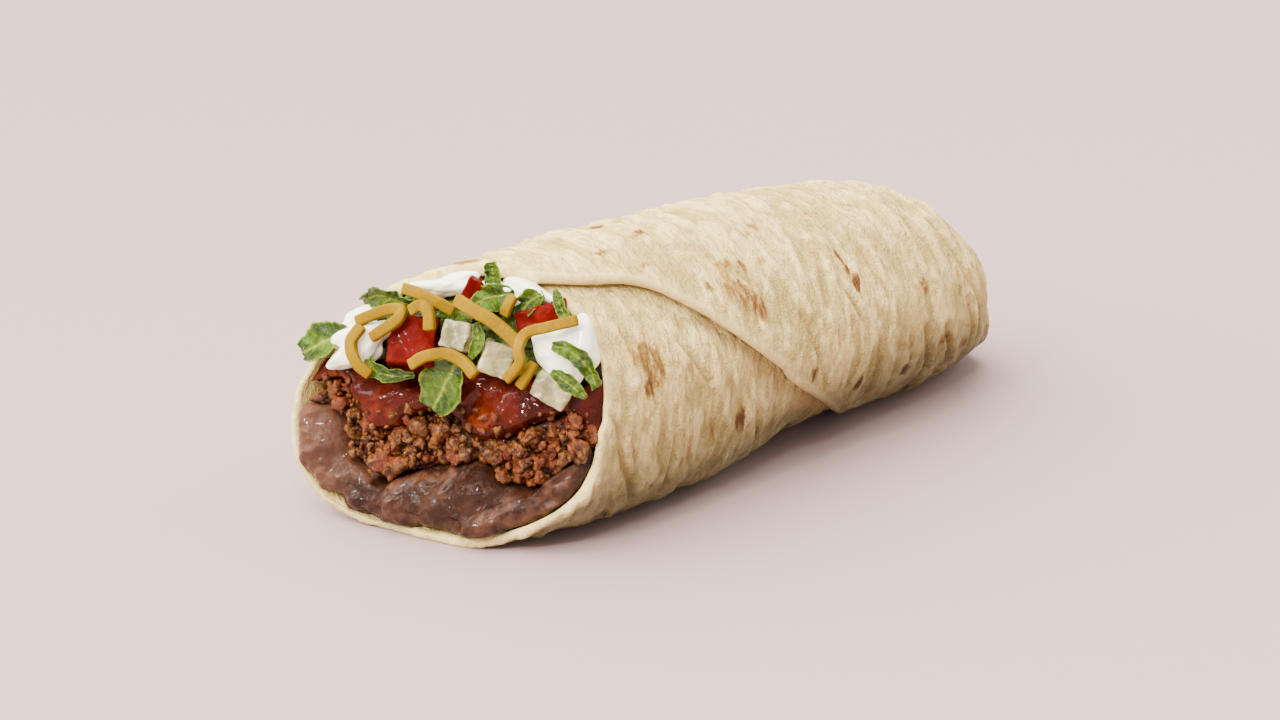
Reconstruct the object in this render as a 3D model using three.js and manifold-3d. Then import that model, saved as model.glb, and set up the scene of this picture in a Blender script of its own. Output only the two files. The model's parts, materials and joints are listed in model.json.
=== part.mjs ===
// A burrito: a flour tortilla rolled round its fillings, open at one slanted end and folded shut
// at the other. Millimetres, +Z up. The roll runs along +X from its mouth to its tail, its far
// side faces +Y, and it lies on Z = 0 on a narrow flat strip. The whole is then shifted, so that
// the origin is under the roll's middle.
import * as THREE from 'three';
import Module from 'manifold-3d';

const wasm = await Module();
wasm.setup();

// The roll's outer form.
const LENGTH = 144.2;
const MOUTH_HALF_WIDTH = 28.9;
const MOUTH_HALF_HEIGHT = 23.9;
const WIDTH_TAPER = [-0.016, -0.195];
const HEIGHT_TAPER = [0.253, -0.358];
const TOP_ROUNDNESS = 1.99;
const BASE_ROUNDNESS = [
  [0, 2.29], [0.05, 2.35], [0.2, 3.24], [0.35, 3.26], [0.5, 2.15], [0.62, 1.92], [1, 2.01],
];
const CENTRE_SHARE = 0.97;
const TAIL_START = 0.62;
const TAIL_POWER = 3;
const TAIL_DROP = 0.83;

// The mouth's edge: its distance along X goes round the roll as a sum of two waves.
const RIM = { mean: 5.5, across: -14.2, upward: 10.7, across2: -1.2, upward2: 0.7 };

// The sheet, its rounded lip at the mouth, its overlapping outer edge and the tucks at the tail.
const SHEET = 1.6;
const LIP = 0.6;
const FLAP_STEP = 1.8;
const FLAP_FADE = 70;
const FLAP_ROUTE = [
  [0, 106], [0.05, 114.5], [0.127, 123.5], [0.194, 141], [0.249, 155],
  [0.33, 173], [0.479, 203], [0.7, 250], [1, 300],
];
const TUCKS = { count: 5, depth: 1.6, from: 0.84, turn: 40 };
const MIDDLE = 65;
const DENTS = { depth: 0.35, along: 21, around: 2.3 };
const CAVITY_END = 0.9;
const FILLED_TO = 0.85;
const GAP = 0.3;
const INSIDE_GAP = 0.9;
const WIDEN = 3;

// The layers at the mouth: heights above the roll's axis, at shares of the way from the near
// wall at -1 to the far wall at 1.
const BEANS_TOP = [
  [-1, -2.4], [-0.88, -5.8], [-0.72, -11.6], [-0.55, -11.4], [-0.3, -8.4], [0, -10.4],
  [0.2, -12.4], [0.42, -14.8], [0.62, -10.6], [0.76, -4.2], [0.9, -2.4], [1, -3],
];
const BEEF_TOP = [
  [-1, -2], [-0.92, 0.6], [-0.8, 2.6], [-0.6, 0], [-0.4, -3.6], [-0.26, -4.6], [-0.1, -2.8],
  [0.04, -0.6], [0.2, -1.6], [0.35, -4.9], [0.48, -4.6], [0.6, -1], [0.7, 2.1], [0.88, 1.8], [1, 1],
];
const SAUCE_TOP = [
  [-1, 8.6], [-0.85, 7.4], [-0.72, 5.2], [-0.5, 6.6], [-0.24, 8.2],
  [0.1, 6.6], [0.35, 4.6], [0.57, 4.2], [0.85, 6.6], [1, 5.2],
];
const THINNEST = 1.2;
const FULL = 0.985;
const FRONT_ROWS = 1.6;

// How far each layer's face stands out of the mouth, and the height and size of its lumps.
const BEANS_FACE = { out: 1.9, lump: 1.9, size: 7 };
const BEEF_FACE = { out: -1, lump: 1, size: 4 };
const SAUCE_FACE = { out: 1.9, lump: 1.2, size: 9 };
const BED_FACE = { out: -0.7, lump: 1.4, size: 5 };
const SLANT = 1.2;
const CRUMBS = {
  count: 40, small: 1.4, large: 2.3, bias: 1.5, seed: 11, deepest: -0.8, furthest: 1.6,
  spread: 0.93, clear: 1.1, least: 0.78, swell: 0.44,
};

// The toppings' forms: how uneven a cut cube is, how sharp a peak, and how a leaf ends and frills.
const DICE_SKEW = 0.09;
const PEAK_POWER = 9;
const LEAF_TIP = 0.12;
const FRILL_PITCH = 1.3;

// Counts of faces.
const DOLLOP_FACES = { rows: 6, columns: 10 };
const AROUND = 38;
const ACROSS = 20;
const BODY_ROWS = 13;
const TAIL_ROWS = 8;

const COLOURS = {
  tortilla: [0xe0d0ac, 0.75],
  beans: [0x6b4432, 0.45],
  beef: [0x8a5032, 0.55],
  sauce: [0x86341f, 0.18],
  lettuce: [0x7c9a38, 0.5],
  tomato: [0xb23920, 0.3],
  onion: [0xd2c6ac, 0.35],
  cheese: [0xe8a628, 0.5],
  cream: [0xefecde, 0.35],
};

const RAD = Math.PI / 180;
const clamp = THREE.MathUtils.clamp;
const lerp = THREE.MathUtils.lerp;
const vec = (x, y, z) => new THREE.Vector3(x, y, z);

// A wavy number from -1 to 1 that changes smoothly over about one size.
function lumps(x, y, z, size) {
  const [a, b, c] = [x / size, y / size, z / size];
  const low = Math.sin(2.1 * a + 1.3 * b + 0.7) * Math.sin(1.7 * b - 1.1 * c + 2.1);
  const high = Math.sin(3.9 * b + 2.3 * c + 4.0) * Math.sin(3.1 * a - 3.3 * c + 1.2);
  return 0.65 * low + 0.35 * high;
}

// A repeatable random draw, as a function that gives the next number from 0 to 1.
function drawer(seed) {
  let state = seed;
  return () => {
    state = (state * 16807) % 2147483647;
    return state / 2147483647;
  };
}

// A smooth curve through a list of [place, value] points.
function follow(points, place) {
  const last = points.length - 1;
  let i = 0;
  while (i < last - 1 && place > points[i + 1][0]) i += 1;
  const [x0, y0] = points[i];
  const [x1, y1] = points[i + 1];
  const slope = (k) => {
    const [low, high] = [Math.max(k - 1, 0), Math.min(k + 1, last)];
    return (points[high][1] - points[low][1]) / (points[high][0] - points[low][0]);
  };
  const t = clamp((place - x0) / (x1 - x0), 0, 1);
  const [m0, m1] = [slope(i) * (x1 - x0), slope(i + 1) * (x1 - x0)];
  const t2 = t * t;
  const t3 = t2 * t;
  return (2 * t3 - 3 * t2 + 1) * y0 + (t3 - 2 * t2 + t) * m0
    + (3 * t2 - 2 * t3) * y1 + (t3 - t2) * m1;
}

const signedPower = (value, power) => Math.sign(value) * Math.abs(value) ** power;

const baseRoundness = (x) => follow(BASE_ROUNDNESS, clamp(x / LENGTH, 0, 1));

// The roll's half width, half height and axis height at x, drawn in from its skin.
function section(x, inset) {
  const t = clamp(x / LENGTH, 0, 1);
  const full = MOUTH_HALF_HEIGHT * (1 + HEIGHT_TAPER[0] * t + HEIGHT_TAPER[1] * t * t);
  const wide = MOUTH_HALF_WIDTH * (1 + WIDTH_TAPER[0] * t + WIDTH_TAPER[1] * t * t);
  const past = clamp((t - TAIL_START) / (1 - TAIL_START), 0, 1);
  const cap = (1 - past ** TAIL_POWER) ** (1 / TAIL_POWER);
  return {
    half: Math.max(wide * cap - inset, 0),
    rise: Math.max(full * cap - inset, 0),
    axis: full * CENTRE_SHARE - TAIL_DROP * full * (1 - cap),
  };
}

// A point of the roll's skin at an angle in degrees, from the far side over the top.
function skin(x, angle, inset, floor) {
  const { half, rise, axis } = section(x, inset);
  const [c, s] = [Math.cos(angle * RAD), Math.sin(angle * RAD)];
  const power = 2 / (s > 0 ? TOP_ROUNDNESS : baseRoundness(x));
  return vec(x, half * signedPower(c, power), Math.max(axis + rise * signedPower(s, power), floor));
}

function rimAt(angle) {
  const a = angle * RAD;
  return RIM.mean + RIM.across * Math.cos(a) + RIM.upward * Math.sin(a)
    + RIM.across2 * Math.cos(2 * a) + RIM.upward2 * Math.sin(2 * a);
}

const alongFrom = (angle, share) => lerp(rimAt(angle), LENGTH, share);

// Where the outer sheet stands proud of the layer that it covers, by degrees behind its edge.
function flapRise(behind) {
  const near = (degrees) => Math.exp(-((degrees / FLAP_FADE) ** 2));
  return (FLAP_STEP / 2) * (near(behind) - near(360 - behind));
}

// The folds gathered at the tail, and the roll's shallow dents.
function hollow(share, angle, x) {
  const gathered = THREE.MathUtils.smoothstep(share, TUCKS.from, 1);
  const tuck = Math.abs(Math.sin((TUCKS.count * (angle + TUCKS.turn * share) * RAD) / 2));
  const dent = Math.sin(x / DENTS.along + DENTS.around * Math.sin(angle * RAD));
  return TUCKS.depth * gathered * (1 - tuck) + DENTS.depth * dent * (1 - gathered) * share;
}

// A closed mesh of rings from one pole to the other, given as lists of points.
function ringSolid(start, rings, end) {
  const n = rings[0].length;
  const points = [start, ...rings.flat(), end];
  const at = (ring, i) => 1 + ring * n + (i % n);
  const faces = [];
  for (let i = 0; i < n; i += 1) {
    faces.push(0, at(0, i), at(0, i + 1));
    faces.push(points.length - 1, at(rings.length - 1, i + 1), at(rings.length - 1, i));
    for (let r = 0; r + 1 < rings.length; r += 1) {
      faces.push(at(r, i), at(r + 1, i), at(r + 1, i + 1));
      faces.push(at(r, i), at(r + 1, i + 1), at(r, i + 1));
    }
  }
  return closed(points, faces);
}

// A closed mesh of a bent block: place() puts each lattice point, with shares 0 to 1 each way.
function blockSolid(counts, place) {
  const points = [];
  const index = new Map();
  const at = (cell) => {
    const key = cell.join(',');
    if (!index.has(key)) {
      index.set(key, points.length);
      points.push(place(...cell.map((value, axis) => value / counts[axis])));
    }
    return index.get(key);
  };
  const faces = [];
  for (let axis = 0; axis < 3; axis += 1) {
    const [p, q] = [(axis + 1) % 3, (axis + 2) % 3];
    for (const side of [0, counts[axis]]) {
      for (let i = 0; i < counts[p]; i += 1) {
        for (let j = 0; j < counts[q]; j += 1) {
          const corner = (di, dj) => {
            const cell = [0, 0, 0];
            cell[axis] = side;
            cell[p] = i + di;
            cell[q] = j + dj;
            return at(cell);
          };
          const [a, b, c, d] = [corner(0, 0), corner(1, 0), corner(1, 1), corner(0, 1)];
          if (side) faces.push(a, b, c, a, c, d);
          else faces.push(a, c, b, a, d, c);
        }
      }
    }
  }
  return closed(points, faces);
}

// A solid from shared points and faces, turned right side out.
function closed(points, faces) {
  let volume = 0;
  for (let i = 0; i < faces.length; i += 3) {
    const [a, b, c] = [points[faces[i]], points[faces[i + 1]], points[faces[i + 2]]];
    volume += a.dot(vec(0, 0, 0).crossVectors(b, c));
  }
  if (volume < 0) faces.reverse();
  const vertProperties = new Float32Array(points.flatMap((point) => point.toArray()));
  const mesh = new wasm.Mesh({ numProp: 3, vertProperties, triVerts: new Uint32Array(faces) });
  mesh.merge();
  return new wasm.Manifold(mesh);
}

// The largest body of a solid, without the scraps that a cut leaves.
function mainBody(solid) {
  const bodies = solid.decompose();
  return bodies.reduce((best, body) => (body.volume() > best.volume() ? body : best));
}

// The tortilla, or with room around it the space that the fillings keep clear of.
function tortilla(room) {
  const ring = (share, inset, forward) => {
    const inside = inset > SHEET / 2;
    const edge = follow(FLAP_ROUTE, inside ? 0 : share) + room * WIDEN;
    return Array.from({ length: AROUND }, (_, i) => {
      const behind = (i * 360) / (AROUND - 1);
      const angle = edge - behind;
      const x = alongFrom(angle, share) - forward;
      const out = inside ? 0 : flapRise(behind) - hollow(share, angle, x);
      return skin(x, angle, inset - out, inside ? inset : -room);
    });
  };
  const shares = [];
  for (let i = 0; i < BODY_ROWS; i += 1) shares.push((TAIL_START * i) / (BODY_ROWS - 1));
  for (let i = 1; i < TAIL_ROWS; i += 1) {
    const turned = Math.sin((i * 90 * RAD) / TAIL_ROWS) ** (2 / TAIL_POWER);
    shares.push(lerp(TAIL_START, 1, turned));
  }
  const inner = shares.filter((share) => share < CAVITY_END);
  const rings = [
    ...inner.toReversed().map((share) => ring(share, SHEET + room, 0)),
    ring(0, SHEET / 2, LIP + room),
    ...shares.map((share) => ring(share, -room, 0)),
  ];
  const middle = (points) => points.reduce((sum, point) => sum.add(point), vec(0, 0, 0))
    .divideScalar(points.length);
  const tail = skin(LENGTH + room, 0, 0, 0);
  return ringSolid(middle(rings[0]), rings, tail);
}

// The half width of the space inside the sheet at a height, for a cross-section at x.
function spaceAt(x, z, clear) {
  const { half, rise, axis } = section(x, SHEET + clear);
  const power = z > axis ? TOP_ROUNDNESS : baseRoundness(x);
  const share = clamp(Math.abs(z - axis) / Math.max(rise, 0.01), 0, 1);
  return half * (1 - share ** power) ** (1 / power);
}

// The mouth's slanted face, as a distance along X. It meets the mouth's edge all round.
function mouthFace(y, height) {
  const a = y / MOUTH_HALF_WIDTH;
  const b = (height - CENTRE_SHARE * MOUTH_HALF_HEIGHT) / MOUTH_HALF_HEIGHT;
  return RIM.mean + RIM.across * a + RIM.upward * b
    + RIM.across2 * (a * a - b * b) + RIM.upward2 * 2 * a * b;
}

// One layer of filling, from a lower to an upper height curve, run through to the tail.
function layer(counts, lower, upper, face) {
  return blockSolid(counts, (share, height, along) => {
    const across = 2 * share - 1;
    const gap = lerp(GAP, INSIDE_GAP, Math.min(3 * along, 1));
    const place = (x) => {
      const { rise, axis } = section(x, SHEET + gap);
      const scale = rise / (MOUTH_HALF_HEIGHT - SHEET - GAP);
      const floor = Math.max(axis - rise * FULL, SHEET + gap);
      const top = axis + rise * FULL;
      const low = clamp(axis + lower(across) * scale, floor, top);
      const high = clamp(axis + upper(across) * scale, floor, top);
      const z = lerp(low, high, height);
      return vec(x, across * spaceAt(x, z, gap), z);
    };
    const flat = place(0);
    const bulge = Math.sin(Math.PI * height) * (1 - across ** 4);
    const lump = lumps(flat.x, flat.y, flat.z, face.size);
    const out = face.out + face.lump * (lump + bulge - 0.5);
    const front = mouthFace(flat.y, flat.z) - SLANT * out;
    return place(lerp(front, FILLED_TO * LENGTH, along ** FRONT_ROWS));
  });
}

const beansTop = (across) => follow(BEANS_TOP, across);
const beefTop = (across) => Math.max(follow(BEEF_TOP, across), beansTop(across) + THINNEST);
const sauceTop = (across) => Math.max(follow(SAUCE_TOP, across), beefTop(across) + THINNEST);
const lifted = (curve, by) => (across) => curve(across) + by;
const wallBelow = () => -MOUTH_HALF_HEIGHT;
const wallAbove = () => MOUTH_HALF_HEIGHT;

const beans = layer([ACROSS, 6, 6], wallBelow, lifted(beansTop, -GAP / 2), BEANS_FACE);
const beefCore = layer([ACROSS, 3, 6], lifted(beansTop, GAP / 2), lifted(beefTop, -GAP / 2), BEEF_FACE);
const sauceWhole = layer([ACROSS, 4, 6], lifted(beefTop, GAP / 2), lifted(sauceTop, -GAP / 2), SAUCE_FACE);
const bedWhole = layer([ACROSS, 5, 6], lifted(sauceTop, GAP / 2), wallAbove, BED_FACE);

// A crumb of mince: a rough ball with a few faces.
function crumb(centre, radius, next) {
  const ball = new THREE.IcosahedronGeometry(radius, 0);
  const place = ball.getAttribute('position');
  const seen = new Map();
  const points = [];
  const faces = [];
  for (let i = 0; i < place.count; i += 1) {
    const point = vec(0, 0, 0).fromBufferAttribute(place, i);
    const key = point.toArray().map((value) => value.toFixed(3)).join();
    if (!seen.has(key)) {
      seen.set(key, points.length);
      points.push(point.multiplyScalar(CRUMBS.least + CRUMBS.swell * next()).add(centre));
    }
    faces.push(seen.get(key));
  }
  return closed(points, faces);
}

// The mince: its core with crumbs fused on where it shows at the mouth.
function mince() {
  const next = drawer(CRUMBS.seed);
  const crumbs = [];
  for (let i = 0; i < CRUMBS.count; i += 1) {
    const across = lerp(-CRUMBS.spread, CRUMBS.spread, (i + next()) / CRUMBS.count);
    const radius = lerp(CRUMBS.small, CRUMBS.large, next() ** CRUMBS.bias);
    const axis = section(0, 0).axis;
    const low = axis + beansTop(across) + GAP + radius * CRUMBS.clear;
    const high = axis + beefTop(across) - GAP - radius * CRUMBS.clear;
    const z = lerp(low, high, next());
    const y = across * spaceAt(0, z, GAP + radius);
    const out = lerp(CRUMBS.deepest, CRUMBS.furthest, next());
    const middle = vec(mouthFace(y, z) - SLANT * out, y, z);
    if (high > low) crumbs.push(crumb(middle, radius, next));
  }
  return crumbs.reduce((whole, part) => whole.add(part), beefCore);
}

// The frame of the mouth's plane: X to the right as seen from outside, Y up it, Z out of it.
const outward = vec(
  -1,
  RIM.across / MOUTH_HALF_WIDTH,
  RIM.upward / MOUTH_HALF_HEIGHT,
).normalize();
const upward = vec(0, 0, 1).addScaledVector(outward, -outward.z).normalize();
const rightward = vec(0, 0, 0).crossVectors(upward, outward);
const mouthFrame = new THREE.Matrix4().makeBasis(rightward, upward, outward)
  .setPosition(RIM.mean, 0, CENTRE_SHARE * MOUTH_HALF_HEIGHT);
const intoFrame = mouthFrame.clone().invert();

const moved = (solid, matrix) => solid.transform(matrix.elements);

// A cut cube of vegetable: size, middle and turns in degrees, with slightly uneven faces.
function dice({ size, at, turn }, room) {
  const matrix = new THREE.Matrix4().compose(
    vec(...at),
    new THREE.Quaternion().setFromEuler(new THREE.Euler(...turn.map((value) => value * RAD))),
    vec(1, 1, 1),
  );
  const block = blockSolid([2, 2, 2], (a, b, c) => {
    const point = vec(a - 0.5, b - 0.5, c - 0.5);
    const skew = 1 + DICE_SKEW * Math.sin(7 * a + 5 * b + 3 * c + at[0]);
    return vec(
      point.x * (size[0] * skew + 2 * room),
      point.y * (size[1] * skew + 2 * room),
      point.z * (size[2] * skew + 2 * room),
    );
  });
  return moved(block, matrix);
}

// A flat strip or leaf along a path: its half widths, thickness, roll, curl and frill.
function strip(shape, room) {
  const { path, width, thick, roll = 0, curl = 0, frill = 0, steps = 8, cells = 1, tip = 1 } = shape;
  const curve = new THREE.CatmullRomCurve3(path.map((point) => vec(...point)), false, 'centripetal');
  const span = curve.getLength();
  return blockSolid([steps, cells, 1], (along, across, height) => {
    const place = curve.getPointAt(along);
    const tangent = curve.getTangentAt(along);
    const turned = vec(0, Math.sin(roll * RAD), Math.cos(roll * RAD));
    const side = vec(0, 0, 0).crossVectors(turned, tangent).normalize();
    const normal = vec(0, 0, 0).crossVectors(tangent, side);
    const taper = lerp(1, Math.sin(Math.PI * lerp(LEAF_TIP, 1 - LEAF_TIP, along)), tip);
    const from = 2 * across - 1;
    const wave = frill * Math.sin(along * span * FRILL_PITCH + from * 2) * Math.abs(from);
    const bend = curl * (from * from - 0.5) * taper + wave;
    return place
      .addScaledVector(tangent, (2 * along - 1) * room)
      .addScaledVector(side, from * ((width / 2) * taper + room))
      .addScaledVector(normal, bend + (height - 0.5) * (thick + 2 * room));
  });
}

// A spoonful of sour cream: a soft ball drawn out each way, with a peak.
function dollop({ at, size, turn, peak = [0, 0, 0], lump = 0.12 }, room) {
  const { rows, columns } = DOLLOP_FACES;
  const rotation = new THREE.Euler(0, 0, turn * RAD);
  const place = (down, round) => {
    const direction = vec(
      Math.sin(down) * Math.cos(round),
      Math.sin(down) * Math.sin(round),
      Math.cos(down),
    );
    const swell = 1 + lump * Math.sin(3 * direction.x + 4 * direction.y + at[0]) * Math.sin(down);
    const pull = Math.max(direction.dot(vec(...peak).normalize()), 0) ** PEAK_POWER;
    return vec(
      direction.x * (size[0] * swell + room),
      direction.y * (size[1] * swell + room),
      direction.z * (size[2] * swell + room),
    ).applyEuler(rotation).addScaledVector(vec(...peak), pull).add(vec(...at));
  };
  const rings = [];
  for (let r = 1; r < rows; r += 1) {
    const down = (r * Math.PI) / rows;
    rings.push(Array.from({ length: columns }, (_, i) => place(down, (i * 2 * Math.PI) / columns)));
  }
  return ringSolid(place(0, 0), rings, place(Math.PI, 0));
}

// The toppings, in the mouth's frame. Earlier ones stay whole and later ones are cut round them.
const SHRED = { width: 2.2, thick: 1.4, tip: 0, steps: 9 };
const LEAF = { width: 6, thick: 0.6, cells: 3, steps: 5, tip: 0.8 };

const TOPPINGS = [
  ['tomato_1', 'tomato', dice, { size: [9, 9.4, 7.6], at: [-8.3, 11, 2.9], turn: [-16, 14, 8] }],
  ['tomato_2', 'tomato', dice, { size: [4.2, 5, 4.4], at: [1.7, 22.5, 1.6], turn: [10, 20, -24] }],
  ['tomato_3', 'tomato', dice, { size: [9.6, 4.6, 5], at: [16.2, 19.7, 1.8], turn: [0, 10, 28] }],
  ['onion_1', 'onion', dice, { size: [6, 5.4, 4.6], at: [0.4, 13.9, 2.6], turn: [-6, -8, -4] }],
  ['onion_2', 'onion', dice, { size: [5.8, 6.2, 5], at: [8.8, 10.9, 3.4], turn: [4, 28, -14] }],
  ['onion_3', 'onion', dice, { size: [7.2, 5.2, 5], at: [21, 7.2, 3.2], turn: [10, 12, -24] }],
  ['sour_cream_1', 'cream', dollop, {
    at: [-4.4, 22.7, 1.2], size: [7.4, 2.3, 3], turn: 16, lump: 0.2,
  }],
  ['sour_cream_2', 'cream', dollop, {
    at: [10.8, 23.6, 1.6], size: [6.8, 2.2, 2.6], turn: -6, lump: 0.25,
  }],
  ['sour_cream_3', 'cream', dollop, {
    at: [21.7, 13.5, 3.2], size: [6.6, 4.7, 4], turn: -22, peak: [0.9, 4.2, 0.8], lump: 0.15,
  }],
  ['sour_cream_4', 'cream', dollop, {
    at: [-19.6, 9.8, 3.2], size: [7, 3.6, 3.6], turn: 38, lump: 0.2,
  }],
  ['sour_cream_5', 'cream', dollop, {
    at: [-21.6, 13.4, 1.8], size: [4.8, 2.2, 2.4], turn: 38, lump: 0.15,
  }],
  ['cheese_1', 'cheese', strip, {
    ...SHRED, path: [[-11.4, 21.2, 5.2], [-7.7, 20.7, 5.8], [-3.7, 19.5, 5.4], [-0.7, 18.4, 4.2]],
  }],
  ['cheese_2', 'cheese', strip, {
    ...SHRED, width: 2.5, path: [[0.5, 20.7, 6.8], [4.8, 19.3, 8], [9.5, 17.6, 8.2], [15.3, 14, 7.4]],
  }],
  ['cheese_3', 'cheese', strip, {
    ...SHRED,
    steps: 14,
    path: [
      [-19.6, 13.6, 6.2], [-14.2, 16.3, 6.9], [-10.2, 17.3, 7.4], [-9.8, 15.6, 8.2],
      [-12.2, 13.2, 9], [-14.8, 11.2, 8.4],
    ],
  }],
  ['cheese_4', 'cheese', strip, {
    ...SHRED, path: [[-17.9, 13.2, 6.8], [-19.3, 9.8, 7.6], [-17.6, 6.2, 7.6], [-14.6, 4.2, 6.8]],
  }],
  ['cheese_5', 'cheese', strip, {
    ...SHRED, path: [[-7.6, 17.2, 8.6], [-5.4, 18.6, 8.9], [-3.4, 17.6, 9.4], [-2.6, 14.2, 9.4]],
  }],
  ['cheese_6', 'cheese', strip, {
    ...SHRED, path: [[-6.2, 7.3, 8.2], [-3.0, 9.5, 8.6], [0.6, 10.5, 8], [4.2, 9.5, 7.6], [7.2, 7.3, 7.8]],
  }],
  ['cheese_7', 'cheese', strip, {
    ...SHRED,
    width: 2.0,
    steps: 14,
    path: [
      [25.6, 20.4, 7.4], [20, 18.2, 8], [16.4, 16.6, 8.6], [15.8, 13.8, 9.8],
      [16.4, 11, 9.6], [13.6, 7.6, 8.4],
    ],
  }],
  ['cheese_8', 'cheese', strip, {
    ...SHRED, width: 1.9, steps: 5, path: [[11.5, 23.0, 5.6], [10.8, 21, 6], [10.2, 19, 5.6]],
  }],
  ['cheese_9', 'cheese', strip, {
    ...SHRED, width: 1.9, steps: 5, path: [[18.2, 11.6, 7.2], [17.4, 9.2, 7.8], [16, 6.6, 7.4]],
  }],
  ['leaf_1', 'lettuce', strip, {
    ...LEAF, width: 7.5, curl: 1.4, frill: 0.5, roll: 20,
    path: [[-31.4, 6, 3.6], [-27.2, 8.9, 4.6], [-22, 11.5, 4.2]],
  }],
  ['leaf_2', 'lettuce', strip, {
    ...LEAF, width: 5, curl: 1.2, frill: 0.5, roll: -25,
    path: [[-20.6, 17.6, 3], [-17, 18.8, 4], [-12.8, 18.2, 3.6], [-7.6, 17.6, 2.8]],
  }],
  ['leaf_3', 'lettuce', strip, {
    ...LEAF, width: 10, curl: 1.8, frill: 0.3, roll: 12, tip: 0.75,
    path: [[-2.6, -0.2, 3.8], [-0.6, 3.8, 5.2], [1.6, 8.8, 5.6]],
  }],
  ['leaf_4', 'lettuce', strip, {
    ...LEAF, width: 3, curl: 0.8, cells: 2, steps: 9,
    path: [[-17.2, 8.4, 4], [-15.4, 5.6, 5.4], [-11.2, 4.7, 6], [-6.2, 5.5, 5.6]],
  }],
  ['leaf_5', 'lettuce', strip, {
    ...LEAF, width: 2.6, curl: 0.5, cells: 2, path: [[5, 17, 6], [6.2, 13.8, 7], [5, 10.4, 6.4]],
  }],
  ['leaf_6', 'lettuce', strip, {
    ...LEAF, width: 5.4, curl: 0.7, frill: 0.9, steps: 6,
    path: [[2.6, 20.2, 3.4], [6.4, 22, 4.4], [10.8, 23.2, 4.2]],
  }],
  ['leaf_7', 'lettuce', strip, {
    ...LEAF, width: 4.2, curl: 0.8, frill: 0.7, cells: 2,
    path: [[12.2, 18.8, 3.6], [13.8, 22, 4.2], [16.4, 24, 3.6]],
  }],
  ['leaf_8', 'lettuce', strip, {
    ...LEAF, width: 2.4, curl: 0.5, cells: 2, path: [[19, 25.1, 4.2], [21, 22.2, 5.4], [23.2, 19.6, 6]],
  }],
  ['leaf_9', 'lettuce', strip, {
    ...LEAF, width: 4, curl: 0.6, frill: 0.5, path: [[5.8, 23.8, 2.6], [5.8, 26.2, 3.6], [5.3, 28.4, 4.2]],
  }],
  ['leaf_10', 'lettuce', strip, {
    ...LEAF, width: 3.6, curl: 0.9, frill: 0.5, cells: 2, steps: 6,
    path: [[21.4, 15.2, 7.8], [25.2, 14.6, 8.2], [28.8, 12.2, 7.4], [30.6, 8.9, 6]],
  }],
  ['leaf_11', 'lettuce', strip, {
    ...LEAF, width: 2.8, curl: 0.7, cells: 2, path: [[22.4, 10.6, 8.6], [26, 8.9, 8.8], [29.6, 6.9, 8]],
  }],
  ['leaf_12', 'lettuce', strip, {
    ...LEAF, width: 4, curl: 0.8, frill: 0.4, cells: 2,
    path: [[-3.8, 17, 2.6], [-0.8, 18.3, 3.2], [2.8, 17.6, 3]],
  }],
  ['leaf_13', 'lettuce', strip, {
    ...LEAF, width: 3.6, curl: 0.8, cells: 2, path: [[12, 8.8, 2.6], [13.2, 10.6, 3.6], [14.4, 12.4, 3]],
  }],
];

// Cuts each topping round the ones before it, then the layers round all of them.
function assemble() {
  const wall = moved(tortilla(GAP).add(tortilla(0)), intoFrame);
  const pieces = [];
  for (const [name, look, make, shape] of TOPPINGS) {
    let solid = make(shape, 0).subtract(wall);
    for (const other of pieces) solid = solid.subtract(other.cutter);
    pieces.push({ name, look, solid: mainBody(solid), cutter: make(shape, GAP) });
  }
  const round = (whole) => {
    const cut = pieces.reduce((rest, piece) => rest.subtract(moved(piece.cutter, mouthFrame)), whole);
    return mainBody(cut);
  };
  const layers = [
    ['tortilla', 'tortilla', tortilla(0)],
    ['refried_beans', 'beans', beans],
    ['ground_beef', 'beef', round(mince())],
    ['red_sauce', 'sauce', round(sauceWhole)],
    ['lettuce_bed', 'lettuce', round(bedWhole)],
  ];
  return { layers, pieces };
}

function meshOf(name, look, solid) {
  const { vertProperties, triVerts } = solid.getMesh();
  const geometry = new THREE.BufferGeometry();
  geometry.setAttribute('position', new THREE.BufferAttribute(vertProperties, 3));
  geometry.setIndex(new THREE.BufferAttribute(triVerts, 1));
  geometry.computeVertexNormals();
  const [color, roughness] = COLOURS[look];
  const mesh = new THREE.Mesh(geometry, new THREE.MeshStandardMaterial({ color, roughness, metalness: 0 }));
  mesh.name = name;
  return mesh;
}

const burrito = new THREE.Group();
burrito.position.x = -MIDDLE;
const { layers, pieces } = assemble();
for (const [name, look, solid] of layers) burrito.add(meshOf(name, look, solid));

const mouth = new THREE.Group();
mouth.applyMatrix4(mouthFrame);
for (const { name, look, solid } of pieces) mouth.add(meshOf(name, look, solid));
burrito.add(mouth);

export default burrito;
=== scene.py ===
"""A burrito: a rolled flour tortilla, the layers of filling at its slanted mouth, and its toppings.

Sizes are in millimetres and angles in degrees until a mesh is made, which turns them into metres.
The roll runs along +X from its mouth to its tail, and its near side faces -Y.
"""
import json
import logging
import math
from dataclasses import dataclass
from enum import Enum
from typing import Callable, Sequence

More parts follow.
